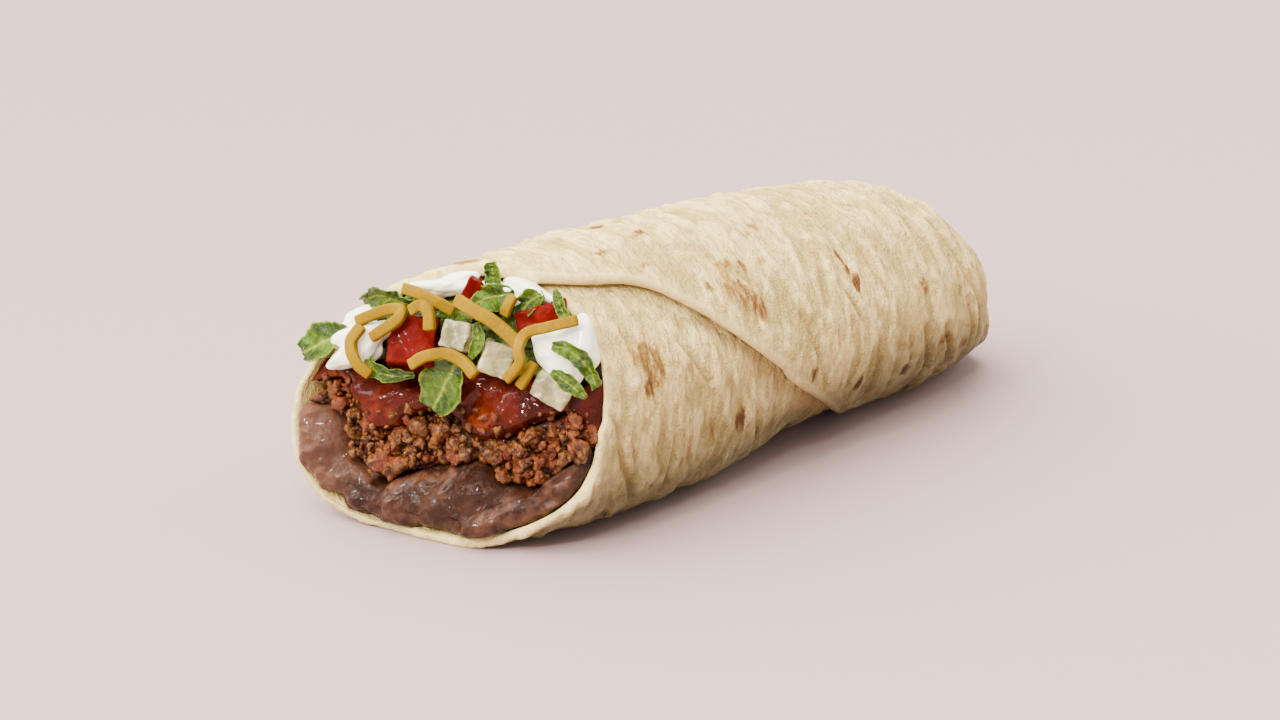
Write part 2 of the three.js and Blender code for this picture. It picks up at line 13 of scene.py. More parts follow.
import bpy
import numpy as np
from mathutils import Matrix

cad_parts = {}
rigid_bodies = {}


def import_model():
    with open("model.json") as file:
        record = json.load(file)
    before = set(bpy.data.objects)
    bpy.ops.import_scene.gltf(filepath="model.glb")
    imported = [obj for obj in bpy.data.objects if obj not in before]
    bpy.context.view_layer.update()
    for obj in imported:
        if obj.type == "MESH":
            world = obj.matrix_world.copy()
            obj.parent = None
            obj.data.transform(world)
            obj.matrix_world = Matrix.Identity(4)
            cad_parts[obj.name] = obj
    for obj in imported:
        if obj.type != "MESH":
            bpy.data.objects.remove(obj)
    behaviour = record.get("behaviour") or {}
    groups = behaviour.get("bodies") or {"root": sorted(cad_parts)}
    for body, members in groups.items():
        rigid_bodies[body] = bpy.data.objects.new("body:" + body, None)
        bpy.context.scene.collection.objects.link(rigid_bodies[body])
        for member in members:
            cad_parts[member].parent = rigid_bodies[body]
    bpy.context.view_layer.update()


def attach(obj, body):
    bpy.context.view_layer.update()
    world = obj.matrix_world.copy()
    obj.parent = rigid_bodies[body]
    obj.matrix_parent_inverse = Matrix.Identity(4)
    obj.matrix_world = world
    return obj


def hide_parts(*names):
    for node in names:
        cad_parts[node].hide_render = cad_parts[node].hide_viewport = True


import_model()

log = logging.getLogger("burrito")

MM = 0.001
BODY = "root"
MIDDLE = 65.0

Array = np.ndarray
Object = bpy.types.Object
Material = bpy.types.Material
Node = bpy.types.Node
NodeTree = bpy.types.NodeTree
Socket = bpy.types.NodeSocket
Place = Callable[[Array, Array, Array], Array]
Curve = tuple[tuple[float, float], ...]
Colour = tuple[float, float, float]
Point = tuple[float, float, float]


class Slot(Enum):
    """The record's material slots."""

    TORTILLA = "tortilla"
    BEANS = "beans"
    BEEF = "beef"
    SAUCE = "sauce"
    LETTUCE = "lettuce"
    TOMATO = "tomato"
    ONION = "onion"
    CHEESE = "cheese"
    CREAM = "cream"


def smoothstep(value: Array, low: float, high: float) -> Array:
    """Eases from 0 at low to 1 at high."""
    share = np.clip((value - low) / (high - low), 0, 1)
    return share * share * (3 - 2 * share)


def bell(value: Array, width: float) -> Array:
    """Gives a soft bump that is 1 at 0 and fades over a width."""
    return np.exp(-((value / width) ** 2))


def mix(low: Array, high: Array, share: Array) -> Array:
    """Goes from low to high by a share."""
    return low + (high - low) * share


def signed_power(value: Array, power: Array) -> Array:
    """Raises the size of a value to a power and keeps its sign."""
    return np.sign(value) * np.abs(value) ** power


def follow(points: Sequence[tuple[float, float]], place: Array) -> Array:
    """Reads a smooth curve through (place, value) points.

    Args:
        points: the curve's points, in order of place.
        place: where to read it.

    Returns:
        The curve's value at each place.
    """
    xs, ys = np.array(points, float).T
    last = len(xs) - 1
    low = np.maximum(np.arange(last + 1) - 1, 0)
    high = np.minimum(np.arange(last + 1) + 1, last)
    slopes = (ys[high] - ys[low]) / (xs[high] - xs[low])
    place = np.asarray(place, float)
    i = np.clip(np.searchsorted(xs, place, side="left") - 1, 0, last - 1)
    span = xs[i + 1] - xs[i]
    t = np.clip((place - xs[i]) / span, 0, 1)
    start, end = slopes[i] * span, slopes[i + 1] * span
    return ((2 * t**3 - 3 * t**2 + 1) * ys[i] + (t**3 - 2 * t**2 + t) * start
            + (3 * t**2 - 2 * t**3) * ys[i + 1] + (t**3 - t**2) * end)


@dataclass(frozen=True)
class Noise:
    """Smooth noise in space from -1 to 1, the same in each run."""

    seed: int
    cells: int = 4096
    primes: tuple[int, int, int] = (73856093, 19349663, 83492791)
    finer: float = 2.03
    shift: float = 17.3

    def at(self, points: Array) -> Array:
        """Reads the noise, one unit from lump to lump, at points of three coordinates."""
        table = np.random.default_rng(self.seed).uniform(-1, 1, self.cells)
        base = np.floor(points).astype(np.int64)
        part = points - base
        part = part * part * part * (part * (part * 6 - 15) + 10)
        total = np.zeros(points.shape[:-1])
        for corner in np.ndindex(2, 2, 2):
            cell = base + corner
            key = np.bitwise_xor.reduce(cell * np.array(self.primes), axis=-1)
            weight = np.prod(np.where(corner, part, 1 - part), axis=-1)
            total += weight * table[key & (self.cells - 1)]
        return total

    def octaves(self, points: Array, count: int, gain: float = 0.5, pillows: bool = False) -> Array:
        """Adds finer and fainter copies of the noise.

        Args:
            points: where to read it.
            count: how many copies.
            gain: how much fainter each copy is.
            pillows: whether to give round lumps with sharp creases between them.

        Returns:
            The sum at each point.
        """
        total = np.zeros(points.shape[:-1])
        for step in range(count):
            value = self.at(points * self.finer**step + self.shift * step)
            total += gain**step * (2.6 * np.abs(value) - 0.75 if pillows else value)
        return total


def round_noise(seed: int, points: Array, along: float, around: float, count: int,
                gain: float = 0.5) -> Array:
    """Reads noise whose lumps are of one size along the roll and of another round it, in millimetres."""
    return Noise(seed).octaves(points * np.array([1 / along, 1 / around, 1 / around]), count, gain)


# The roll's form, the same as in the construction model.


@dataclass(frozen=True)
class RollForm:
    """The roll's outer form, from a slanted mouth to a closed tail."""

    length: float = 144.2
    half_width: float = 28.9
    half_height: float = 23.9
    width_taper: tuple[float, float] = (-0.016, -0.195)
    height_taper: tuple[float, float] = (0.253, -0.358)
    top_roundness: float = 1.99
    base_roundness: Curve = (
        (0, 2.29), (0.05, 2.35), (0.2, 3.24), (0.35, 3.26), (0.5, 2.15), (0.62, 1.92), (1, 2.01),
    )
    centre_share: float = 0.97
    tail_start: float = 0.62
    tail_power: float = 3.0
    tail_drop: float = 0.83
    rim_mean: float = 5.5
    rim_waves: tuple[float, float, float, float] = (-14.2, 10.7, -1.2, 0.7)
    sheet: float = 1.6
    lip: float = 0.6
    gap: float = 0.3
    inside_gap: float = 0.9

    def roundness(self, x: Array, above: Array) -> Array:
        """Gives the power of the cross-section's curve, above or below its axis."""
        base = follow(self.base_roundness, np.clip(x / self.length, 0, 1))
        return np.where(above, self.top_roundness, base)

    def section(self, x: Array, inset: Array) -> tuple[Array, Array, Array]:
        """Gives the half width, half height and axis height at x, drawn in from the skin."""
        t = np.clip(x / self.length, 0, 1)
        full = self.half_height * (1 + self.height_taper[0] * t + self.height_taper[1] * t * t)
        wide = self.half_width * (1 + self.width_taper[0] * t + self.width_taper[1] * t * t)
        past = np.clip((t - self.tail_start) / (1 - self.tail_start), 0, 1)
        cap = np.maximum(1 - past**self.tail_power, 0) ** (1 / self.tail_power)
        axis = full * self.centre_share - self.tail_drop * full * (1 - cap)
        return np.maximum(wide * cap - inset, 0), np.maximum(full * cap - inset, 0), axis

    def skin(self, x: Array, angle: Array, inset: Array, floor: Array) -> Array:
        """Places points of the skin at an angle from the far side over the top.

        Args:
            x: distance along the roll.
            angle: degrees round it, 90 at the top and 180 at the near side.
            inset: how far the points are drawn in.
            floor: the lowest height they may have.

        Returns:
            The points, with their three coordinates last.
        """
        half, rise, axis = self.section(x, inset)
        cos, sin = np.cos(np.radians(angle)), np.sin(np.radians(angle))
        power = 2 / self.roundness(x, sin > 0)
        y = half * signed_power(cos, power)
        z = np.maximum(axis + rise * signed_power(sin, power), floor)
        return np.stack(np.broadcast_arrays(x, y, z), -1)

    def rim(self, angle: Array) -> Array:
        """Gives the mouth's distance along X at an angle."""
        a = np.radians(angle)
        across, upward, across2, upward2 = self.rim_waves
        return (self.rim_mean + across * np.cos(a) + upward * np.sin(a)
                + across2 * np.cos(2 * a) + upward2 * np.sin(2 * a))

    def along(self, angle: Array, share: Array) -> Array:
        """Gives the distance along X at a share of the way from mouth to tail."""
        return mix(self.rim(angle), self.length, share)

    def mouth_face(self, y: Array, z: Array) -> Array:
        """Gives where the mouth's slanted face lies along X. It meets the rim all round."""
        a, b = y / self.half_width, (z - self.mouth_height) / self.half_height
        across, upward, across2, upward2 = self.rim_waves
        return self.rim_mean + across * a + upward * b + across2 * (a * a - b * b) + upward2 * 2 * a * b

    def space_at(self, x: Array, z: Array, clear: Array) -> Array:
        """Gives the half width of the space inside the sheet at a height."""
        half, rise, axis = self.section(x, self.sheet + clear)
        power = self.roundness(x, z > axis)
        share = np.clip(np.abs(z - axis) / np.maximum(rise, 0.01), 0, 1)
        return half * np.maximum(1 - share**power, 0) ** (1 / power)

    @property
    def mouth_height(self) -> float:
        """The height of the mouth's middle."""
        return self.centre_share * self.half_height

    def mouth_axes(self) -> Array:
        """Gives the mouth's axes as rows: to the right seen from outside, up it, and out of it."""
        out = np.array([-1, self.rim_waves[0] / self.half_width, self.rim_waves[1] / self.half_height])
        out /= np.linalg.norm(out)
        up = np.array([0, 0, 1]) - out[2] * out
        up /= np.linalg.norm(up)
        return np.array([np.cross(up, out), up, out])

    def from_mouth(self, points: Array) -> Array:
        """Turns points of the mouth's frame into the roll's."""
        return points @ self.mouth_axes() + np.array([self.rim_mean, 0, self.mouth_height])


ROLL = RollForm()


# Meshes.


def link(name: str, data: bpy.types.ID) -> Object:
    """Makes an object of some data and links it to the scene."""
    made = bpy.data.objects.new(name, data)
    bpy.context.scene.collection.objects.link(made)
    return made


def make_object(name: str, points: Array, faces: Sequence[Array]) -> Object:
    """Makes an object from points and faces.

    Args:
        name: the object's name.
        points: the points in millimetres, in the roll's frame.
        faces: arrays of faces, each array with faces of one length.

    Returns:
        The new object, linked to the scene.
    """
    mesh = bpy.data.meshes.new(name)
    placed = (np.asarray(points, float) - np.array([MIDDLE, 0, 0])) * MM
    loops = np.concatenate([np.asarray(group).reshape(-1) for group in faces])
    sizes = np.concatenate([np.full(len(group), np.asarray(group).shape[1]) for group in faces])
    mesh.vertices.add(len(placed))
    mesh.vertices.foreach_set("co", placed.ravel())
    mesh.loops.add(len(loops))
    mesh.loops.foreach_set("vertex_index", loops.astype(np.int32))
    mesh.polygons.add(len(sizes))
    starts = np.concatenate([[0], np.cumsum(sizes)[:-1]])
    mesh.polygons.foreach_set("loop_start", starts.astype(np.int32))
    mesh.polygons.foreach_set("use_smooth", np.ones(len(sizes), bool))
    mesh.update(calc_edges=True)
    mesh.validate()
    return link(name, mesh)


def outward(points: Array, faces: Sequence[Array]) -> list[Array]:
    """Turns the faces of a closed mesh so that they point out."""
    volume = 0.0
    for group in faces:
        corners = points[group]
        for k in range(1, corners.shape[1] - 1):
            cross = np.cross(corners[:, k], corners[:, k + 1])
            volume += float(np.einsum("ij,ij->", corners[:, 0], cross))
    return [group[:, ::-1] if volume < 0 else group for group in faces]


def set_attribute(made: Object, name: str, values: Array) -> None:
    """Stores one number for each point of an object."""
    layer = made.data.attributes.new(name, "FLOAT", "POINT")
    layer.data.foreach_set("value", np.asarray(values, np.float32).ravel())


def block(counts: tuple[int, int, int], place: Place) -> tuple[Array, list[Array], Array]:
    """Builds the skin of a bent block.

    Args:
        counts: how many faces it has each way.
        place: puts lattice points, given as shares from 0 to 1 each way.

    Returns:
        The points, the faces, and each point's three shares.
    """
    grid = np.indices([n + 1 for n in counts]).reshape(3, -1)
    ids = np.arange(grid.shape[1]).reshape([n + 1 for n in counts])
    quads = []
    for axis in range(3):
        for side in (0, -1):
            face = np.take(ids, side, axis=axis)
            corners = [face[:-1, :-1], face[1:, :-1], face[1:, 1:], face[:-1, 1:]]
            quad = np.stack([c.ravel() for c in corners], -1)
            flip = (side == 0) != (axis == 1)
            quads.append(quad[:, ::-1] if flip else quad)
    quads = np.concatenate(quads)
    used, faces = np.unique(quads, return_inverse=True)
    shares = grid[:, used] / np.array(counts)[:, None]
    points = place(*shares)
    return points, outward(points, [faces.reshape(-1, 4)]), shares.T


def rings(start: Array, body: Array, end: Array) -> tuple[Array, list[Array]]:
    """Builds a closed mesh of rings between two poles.

    Args:
        start: the first pole.
        body: the rings, one row each.
        end: the last pole.

    Returns:
        The points and the faces.
    """
    rows, columns = body.shape[:2]
    points = np.concatenate([[start], body.reshape(-1, 3), [end]])
    ids = 1 + np.arange(rows * columns).reshape(rows, columns)
    after = np.roll(ids, -1, axis=1)
    quads = np.stack([ids[:-1], ids[1:], after[1:], after[:-1]], -1).reshape(-1, 4)
    first = np.stack([np.zeros(columns, int), ids[0], after[0]], -1)
    last = np.stack([np.full(columns, len(points) - 1), after[-1], ids[-1]], -1)
    return points, outward(points, [quads, first, last])


# Shaders.


class NodeWriter:
    """Adds nodes to a tree in few words."""

    def __init__(self, tree: NodeTree) -> None:
        """Works on one tree."""
        self.tree = tree

    def add(self, kind: str, **values: object) -> Node:
        """Adds a node and sets its properties and inputs.

        Args:
            kind: the node's type.
            **values: properties by name, or inputs by name with _ for a space, or by number as in0.

        Returns:
            The node.
        """
        node = self.tree.nodes.new(kind)
        for name, value in values.items():
            if hasattr(node, name):
                setattr(node, name, value)
            elif name.startswith("in") and name[2:].isdigit():
                self.feed(node.inputs[int(name[2:])], value)
            else:
                self.feed(node.inputs[name.replace("_", " ")], value)
        return node

    def feed(self, socket: Socket, value: object) -> None:
        """Links a socket to an input, or sets its value."""
        if isinstance(value, Socket):
            self.tree.links.new(value, socket)
        elif socket.type == "RGBA" and len(value) == 3:
            socket.default_value = (*value, 1.0)
        else:
            socket.default_value = value

    def declare(self, inputs: Sequence[tuple[str, str, object]], output: str,
                *names: str) -> Sequence[Socket]:
        """Gives the tree its named inputs and outputs.

        Args:
            inputs: each input's name, sort of socket and starting value, or None for none.
            output: the outputs' sort of socket.
            *names: the outputs' names.

        Returns:
            The sockets that read the inputs inside the tree.
        """
        for name, sort, value in inputs:
            socket = self.tree.interface.new_socket(name, in_out="INPUT", socket_type="NodeSocket" + sort)
            if value is not None:
                socket.default_value = value
        for name in names:
            self.tree.interface.new_socket(name, in_out="OUTPUT", socket_type="NodeSocket" + output)
        return self.add("NodeGroupInput").outputs

    def math(self, operation: str, first: object, second: object = 0.0) -> Socket:
        """Works out one step of arithmetic."""
        return self.add("ShaderNodeMath", operation=operation, in0=first, in1=second).outputs[0]

    def blend(self, share: object, low: object, high: object, kind: str = "MIX") -> Socket:
        """Mixes two colours, or multiplies the low one by the high one."""
        node = self.add("ShaderNodeMix", data_type="RGBA", blend_type=kind, in0=share, in6=low, in7=high)
        return node.outputs[2]

    def remap(self, value: object, low: float, high: float, to: tuple[float, float] = (0, 1)) -> Socket:
        """Spreads a value between two limits over a new range, and holds it there."""
        return self.add("ShaderNodeMapRange", in0=value, in1=low, in2=high, in3=to[0], in4=to[1]).outputs[0]


@dataclass(frozen=True)
class Mottle:
    """A pattern of patches: how fine it is, where its mask starts and ends, its detail and its stretch."""

    scale: float
    low: float = 0.4
    high: float = 0.6
    detail: float = 3.0
    stretch: Point = (1, 1, 1)

    @staticmethod
    def group() -> NodeTree:
        """Builds the shared group that makes patches: a mask from stretched noise."""
        tree = bpy.data.node_groups.new("Mottle", "ShaderNodeTree")
        w = NodeWriter(tree)
        given = w.declare((
            ("Stretch", "Vector", (1, 1, 1)), ("Scale", "Float", 100.0), ("Detail", "Float", 3.0),
            ("Low", "Float", 0.4), ("High", "Float", 0.6),
        ), "Float", "Mask", "Raw")
        where = w.add("ShaderNodeTexCoord").outputs["Object"]
        spread = w.add("ShaderNodeVectorMath", operation="MULTIPLY", in0=where, in1=given["Stretch"])
        noise = w.add("ShaderNodeTexNoise", Vector=spread.outputs[0], Scale=given["Scale"],
                      Detail=given["Detail"], Roughness=0.55).outputs["Fac"]
        mask = w.add("ShaderNodeMapRange", interpolation_type="SMOOTHSTEP", in0=noise, in1=given["Low"],
                     in2=given["High"]).outputs[0]
        w.add("NodeGroupOutput", Mask=mask, Raw=noise)
        return tree


@dataclass(frozen=True)
class Stain:
    """A colour laid over those before it, in patches or where one of the mesh's own numbers says."""

    colour: Colour
    where: Mottle | str
    share: float = 1.0


class MaterialMaker(NodeWriter):
    """Writes one material with a Principled shader and the shared patches group."""

    def __init__(self, name: str, mottle: NodeTree | None = None) -> None:
        """Starts an empty material of that name."""
        self.material = bpy.data.materials.new(name)
        self.material.use_nodes = True
        super().__init__(self.material.node_tree)
        self.mottle = mottle
        self.shader = next(n for n in self.tree.nodes if n.type == "BSDF_PRINCIPLED")

    def read(self, where: Mottle | str, output: str = "Mask") -> Socket:
        """Reads a pattern of patches, or one of the mesh's own numbers.

        Args:
            where: the pattern, or the name of the mesh's number.
            output: "Mask" for a pattern's patches, or "Raw" for its plain noise.

        Returns:
            The value.
        """
        if isinstance(where, str):
            return self.add("ShaderNodeAttribute", attribute_name=where).outputs["Fac"]
        node = self.add("ShaderNodeGroup", node_tree=self.mottle)
        for name, value in vars(where).items():
            node.inputs[name.capitalize()].default_value = value
        return node.outputs[output]

    def stain(self, base: object, *stains: Stain) -> Socket:
        """Lays stains over a colour, in their order."""
        for stain in stains:
            share = self.math("MULTIPLY", self.read(stain.where), stain.share)
            base = self.blend(share, base, stain.colour)
        return base

    def surface(self, **values: object) -> None:
        """Sets the shader's own inputs by name, with _ for a space."""
        for name, value in values.items():
            self.feed(self.shader.inputs[name.replace("_", " ")], value)


@dataclass(frozen=True)
class Finish:
    """How one food looks: its colours, gloss, inner glow and fine relief.

    The relief adds up patterns with their weights, over a depth in millimetres.
    """

    name: str
    base: Colour
    stains: tuple[Stain, ...]
    relief: tuple[tuple[float, Mottle | str], ...]
    depth: float
    roughness: float
    shine: float
    glow: float
    reach: float
    radius: Colour
    coat: float = 0.0
    coat_roughness: float = 0.06

    def make(self, mottle: NodeTree) -> Material:
        """Builds the material with the shared patches group."""
        m = MaterialMaker(self.name, mottle)
        bump = m.add("ShaderNodeBump", Height=self.height(m), Strength=1.0, Distance=self.depth * MM)
        m.surface(Base_Color=self.colour(m), Roughness=self.gloss(m), Normal=bump.outputs[0],
                  Subsurface_Weight=self.glow, Subsurface_Scale=self.reach, Subsurface_Radius=self.radius,
                  Specular_IOR_Level=self.shine, Coat_Weight=self.coat, Coat_Roughness=self.coat_roughness)
        return m.material

    def colour(self, m: MaterialMaker) -> Socket:
        """Lays the stains over the base colour."""
        return m.stain(self.base, *self.stains)

    def gloss(self, m: MaterialMaker) -> Socket | float:
        """Gives the roughness."""
        return self.roughness

    def height(self, m: MaterialMaker) -> Socket:
        """Adds up the relief."""
        total = None
        for weight, where in self.relief:
            part = m.math("MULTIPLY", m.read(where, "Raw"), weight)
            total = part if total is None else m.math("ADD", total, part)
        return total


GOLD: Colour = (0.31, 0.168, 0.032)


@dataclass(frozen=True)
class TortillaFinish(Finish):
    """Floury baked dough with toasted spots, painted shade on its underside and painted shade below its edge.
    """

    gold: Colour = GOLD
    brown: Colour = (0.13, 0.045, 0.01)
    # Painted shade: a greyish tone multiplied over the lower side of the roll.
    damp: Colour = (0.26, 0.3, 0.37)
    shade: Colour = (0.235, 0.145, 0.045)
    streaks: Mottle = Mottle(1100, detail=4, stretch=(1.0, 0.3, 0.3))
    lip_relief: float = 0.3

    def colour(self, m: MaterialMaker) -> Socket:
        """Adds the toast in streaks, painted shade darker towards the underside and the painted shade below
        the edge.
        """
        base = super().colour(m)
        streak = m.remap(m.read(self.streaks, "Raw"), 0.36, 0.6, (0.45, 1.3))
        char = m.math("MULTIPLY", m.read("toast"), streak)
        base = m.blend(m.remap(char, 0.05, 0.6), base, self.gold)
        base = m.blend(m.remap(char, 0.5, 1.1), base, self.brown)
        # Painted shade: darkens the lower side of the roll, where the light falls less.
        base = m.blend(m.read("damp"), base, self.damp, "MULTIPLY")
        return m.stain(base, Stain(self.shade, "shade", 0.9))

    def height(self, m: MaterialMaker) -> Socket:
        """Calms the relief on the lip."""
        calm = m.remap(m.read("lip"), 0.0, 1.0, (1.0, self.lip_relief))
        return m.math("MULTIPLY", super().height(m), calm)


@dataclass(frozen=True)
class PasteFinish(Finish):
    """A moist paste that is glossier in patches."""

    wettest: float = 0.2

    def gloss(self, m: MaterialMaker) -> Socket:
        """Gives the roughness in patches."""
        return m.remap(m.read(Mottle(420), "Raw"), 0.4, 0.6, (self.wettest, self.roughness))


def mince(name: str, dark: Colour, mid: Colour, pale: Colour) -> Finish:
    """Gives seasoned mince: rough brown crumbs, oily in places."""
    stains = (
        Stain(mid, Mottle(430, 0.38, 0.6, 5)),
        Stain(pale, Mottle(950, 0.46, 0.64, 4), 0.8),
        Stain((0.15, 0.022, 0.004), Mottle(170, 0.46, 0.6, 2), 0.5),
    )
    return Finish(name, dark, stains, ((1.0, Mottle(1300, detail=5)),), 0.8, roughness=0.4, shine=0.3,
                  glow=0.1, reach=0.0008, radius=(1.0, 0.4, 0.2), coat=0.25, coat_roughness=0.1)


def lettuce(name: str, blade: Colour, young: Colour, rib: Colour) -> Finish:
    """Gives lettuce: a pale rib, veins and edge, and a deeper green blade."""
    stains = (
        Stain(young, Mottle(210, 0.38, 0.62, 4)),
        Stain(young, Mottle(700, 0.5, 0.68), 0.35),
        Stain(rib, "vein", 0.6),
        Stain(rib, "edge", 0.5),
    )
    return Finish(name, blade, stains, ((1.0, Mottle(900)), (0.5, "vein")), 0.4, roughness=0.34, shine=0.3,
                  glow=0.25, reach=0.0008, radius=(0.5, 1.0, 0.2), coat=0.15, coat_roughness=0.12)


def moist(name: str, base: Colour, patch: Colour, fleck: Colour, share: float, relief: float,
          patches: float = 180, flecks: float = 700, stretch: Point = (1, 1, 1), **gloss: object) -> Finish:
    """Gives a smooth moist food: tomato, onion, cheese or sour cream.

    Args:
        name: the material's name.
        base: its main colour.
        patch: the colour of its larger patches.
        fleck: the colour of its flecks.
        share: how strong the flecks are.
        relief: how deep its fine relief is, in millimetres.
        patches: how fine the patches are.
        flecks: how fine the flecks and the relief are.
        stretch: how the patterns are stretched.
        **gloss: the finish's gloss and glow.

    Returns:
        The finish.
    """
    stains = (
        Stain(patch, Mottle(patches, 0.36, 0.66, stretch=stretch)),
        Stain(fleck, Mottle(flecks, 0.52, 0.7, stretch=stretch), share),
    )
    return Finish(name, base, stains, ((1.0, Mottle(flecks, detail=4, stretch=stretch)),), relief,
                  reach=0.0015, **gloss)


ROUND_ROLL: Point = (1.0, 0.5, 0.5)
PALE_DOUGH: Colour = (0.79, 0.585, 0.235)
# The clearer dough's colour, used for its own patches and for the painted shade in the hollows.
CLEAR_DOUGH_AND_HOLLOW_SHADE: Colour = (0.36, 0.255, 0.065)
PALE_PASTE: Colour = (0.088, 0.033, 0.0165)
LOOKS = {
    Slot.TORTILLA: TortillaFinish("tortilla", (0.6, 0.42, 0.14), (
        Stain(PALE_DOUGH, Mottle(420, 0.4, 0.62, 5, ROUND_ROLL)),
        Stain(CLEAR_DOUGH_AND_HOLLOW_SHADE, Mottle(110, 0.46, 0.66, 4, ROUND_ROLL), 0.5),
        Stain(CLEAR_DOUGH_AND_HOLLOW_SHADE, Mottle(1000, 0.44, 0.6, 4, ROUND_ROLL), 0.4),
        Stain(PALE_DOUGH, "raised", 0.75),
        # Painted shade: the clearer dough's colour laid between the puffs and in the creases.
        Stain(CLEAR_DOUGH_AND_HOLLOW_SHADE, "hollow", 0.8),
        Stain(PALE_DOUGH, Mottle(2600, 0.42, 0.6, 2), 0.3),
        Stain(CLEAR_DOUGH_AND_HOLLOW_SHADE, Mottle(520, 0.55, 0.64, 5, (1.0, 0.45, 0.45)), 0.6),
        Stain((0.72, 0.555, 0.22), "lip", 0.8),
        Stain(GOLD, Mottle(330, 0.62, 0.7, 2, ROUND_ROLL), 0.45),
    ), (
        (1.0, Mottle(330, detail=5, stretch=(1.0, 0.3, 0.3))),
        (1.1, Mottle(1150, detail=4, stretch=(1.0, 0.42, 0.42))),
        (0.4, Mottle(2600, detail=2)),
    ), 1.0, roughness=0.62, shine=0.3, glow=0.08, reach=0.001, radius=(1.0, 0.7, 0.4)),
    Slot.BEANS: PasteFinish("beans", (0.016, 0.005, 0.0023), (
        Stain((0.033, 0.0112, 0.0048), Mottle(150, 0.36, 0.62, 4)),
        Stain(PALE_PASTE, Mottle(190, 0.48, 0.64, 4), 0.75),
        Stain(PALE_PASTE, Mottle(900, 0.56, 0.7), 0.35),
        # Painted light: the beans are paler towards their far side, which faces the light.
        Stain((0.105, 0.042, 0.022), "dry", 0.75),
    ), ((1.0, Mottle(240, detail=2)), (0.22, Mottle(900, detail=2))), 0.85, roughness=0.42, shine=0.16,
        glow=0.15, reach=0.0012, radius=(1.0, 0.5, 0.35), coat=0.17, coat_roughness=0.05),
    Slot.BEEF: mince("beef", (0.028, 0.0072, 0.0018), (0.094, 0.026, 0.0045), (0.245, 0.086, 0.011)),
    Slot.SAUCE: Finish("sauce", (0.03, 0.0024, 0.0009), (
        Stain((0.068, 0.0056, 0.0015), Mottle(130, 0.38, 0.62, 4)),
        Stain((0.15, 0.022, 0.004), Mottle(210, 0.52, 0.68, 4), 0.65),
    ), ((1.0, Mottle(330)),), 0.9, roughness=0.12, shine=0.06, glow=0.2, reach=0.0015,
        radius=(1.0, 0.25, 0.1), coat=0.28, coat_roughness=0.04),
    Slot.LETTUCE: lettuce("lettuce", (0.011, 0.027, 0.001), (0.052, 0.093, 0.001), (0.26, 0.31, 0.02)),
    Slot.TOMATO: moist(
        "tomato", (0.074, 0.0013, 0.0003), (0.105, 0.0026, 0.0006), (0.18, 0.015, 0.002), 0.25, 0.2,
        roughness=0.35, shine=0.04, glow=0.05, radius=(1.0, 0.2, 0.1), coat=0.06),
    Slot.ONION: moist(
        "onion", (0.17, 0.142, 0.058), (0.42, 0.36, 0.155), (0.95, 0.9, 0.58), 0.55, 0.45, 300, 560,
        (0.3, 1.0, 1.0), roughness=0.18, shine=0.5, glow=0.3, radius=(1.0, 0.95, 0.8), coat=0.45),
    Slot.CHEESE: moist(
        "cheese", (0.163, 0.085, 0.0), (0.205, 0.115, 0.0), (0.262, 0.163, 0.0), 0.35, 0.15,
        roughness=0.5, shine=0.06, glow=0.0, radius=(1.0, 0.6, 0.15)),
    Slot.CREAM: moist(
        "cream", (0.95, 0.9, 0.64), (0.97, 0.92, 0.7), (0.98, 0.95, 0.78), 0.4, 0.1,
        roughness=0.25, shine=0.5, glow=0.12, radius=(1.0, 0.95, 0.85), coat=0.3),
}
SHADED_LOOKS = {
    "lettuce_bed": lettuce("lettuce_shade", (0.02, 0.035, 0.003), (0.06, 0.09, 0.01), (0.2, 0.25, 0.06)),
    "ground_beef": mince("beef_shade", (0.012, 0.003, 0.001), (0.05, 0.013, 0.004), (0.12, 0.035, 0.008)),
}


def finish_piece(made: Object, material: Material, node: str) -> None:
    """Gives a piece its material and ties it to the model.

    Args:
        made: the piece.
        material: its material.
        node: the construction model's node that it stands for.
    """
    made.data.materials.clear()
    made.data.materials.append(material)
    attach(made, BODY)
    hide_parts(node)
    log.info("%s: %d faces", made.name, len(made.data.polygons))


# The tortilla.


@dataclass(frozen=True)
class Toast:
    """A toasted spot: where it is, its half sizes along and round the roll, and how dark it is."""

    x: float
    angle: float
    along: float
    around: float
    dark: float


@dataclass(frozen=True)
class Crease:
    """A groove with low banks between two places, given by distance along the roll and angle."""

    x: float
    angle: float
    end_x: float
    end_angle: float
    width: float
    depth: float
    gain: float = 3.0
    bank: float = 0.28
    bank_at: float = 2.1
    fading: float = 0.6

    def hollow(self, x: Array, arc: Array) -> Array:
        """Gives the groove's depth at places along and round the roll, in millimetres."""
        places = np.array([[self.x, self.angle], [self.end_x, self.end_angle]])
        ends = places * [1, np.radians(1) * SKIN_RADIUS]
        along = ends[1] - ends[0]
        share = ((x - ends[0, 0]) * along[0] + (arc - ends[0, 1]) * along[1]) / (along @ along)
        held = np.clip(share, 0, 1)
        far = (x - ends[0, 0] - held * along[0]) ** 2 + (arc - ends[0, 1] - held * along[1]) ** 2
        away = np.sqrt(far) / self.width
        profile = np.exp(-(away**2)) - self.bank * np.exp(-((away - self.bank_at) ** 2))
        return self.gain * self.depth * profile * (1 - self.fading * np.abs(2 * held - 1))


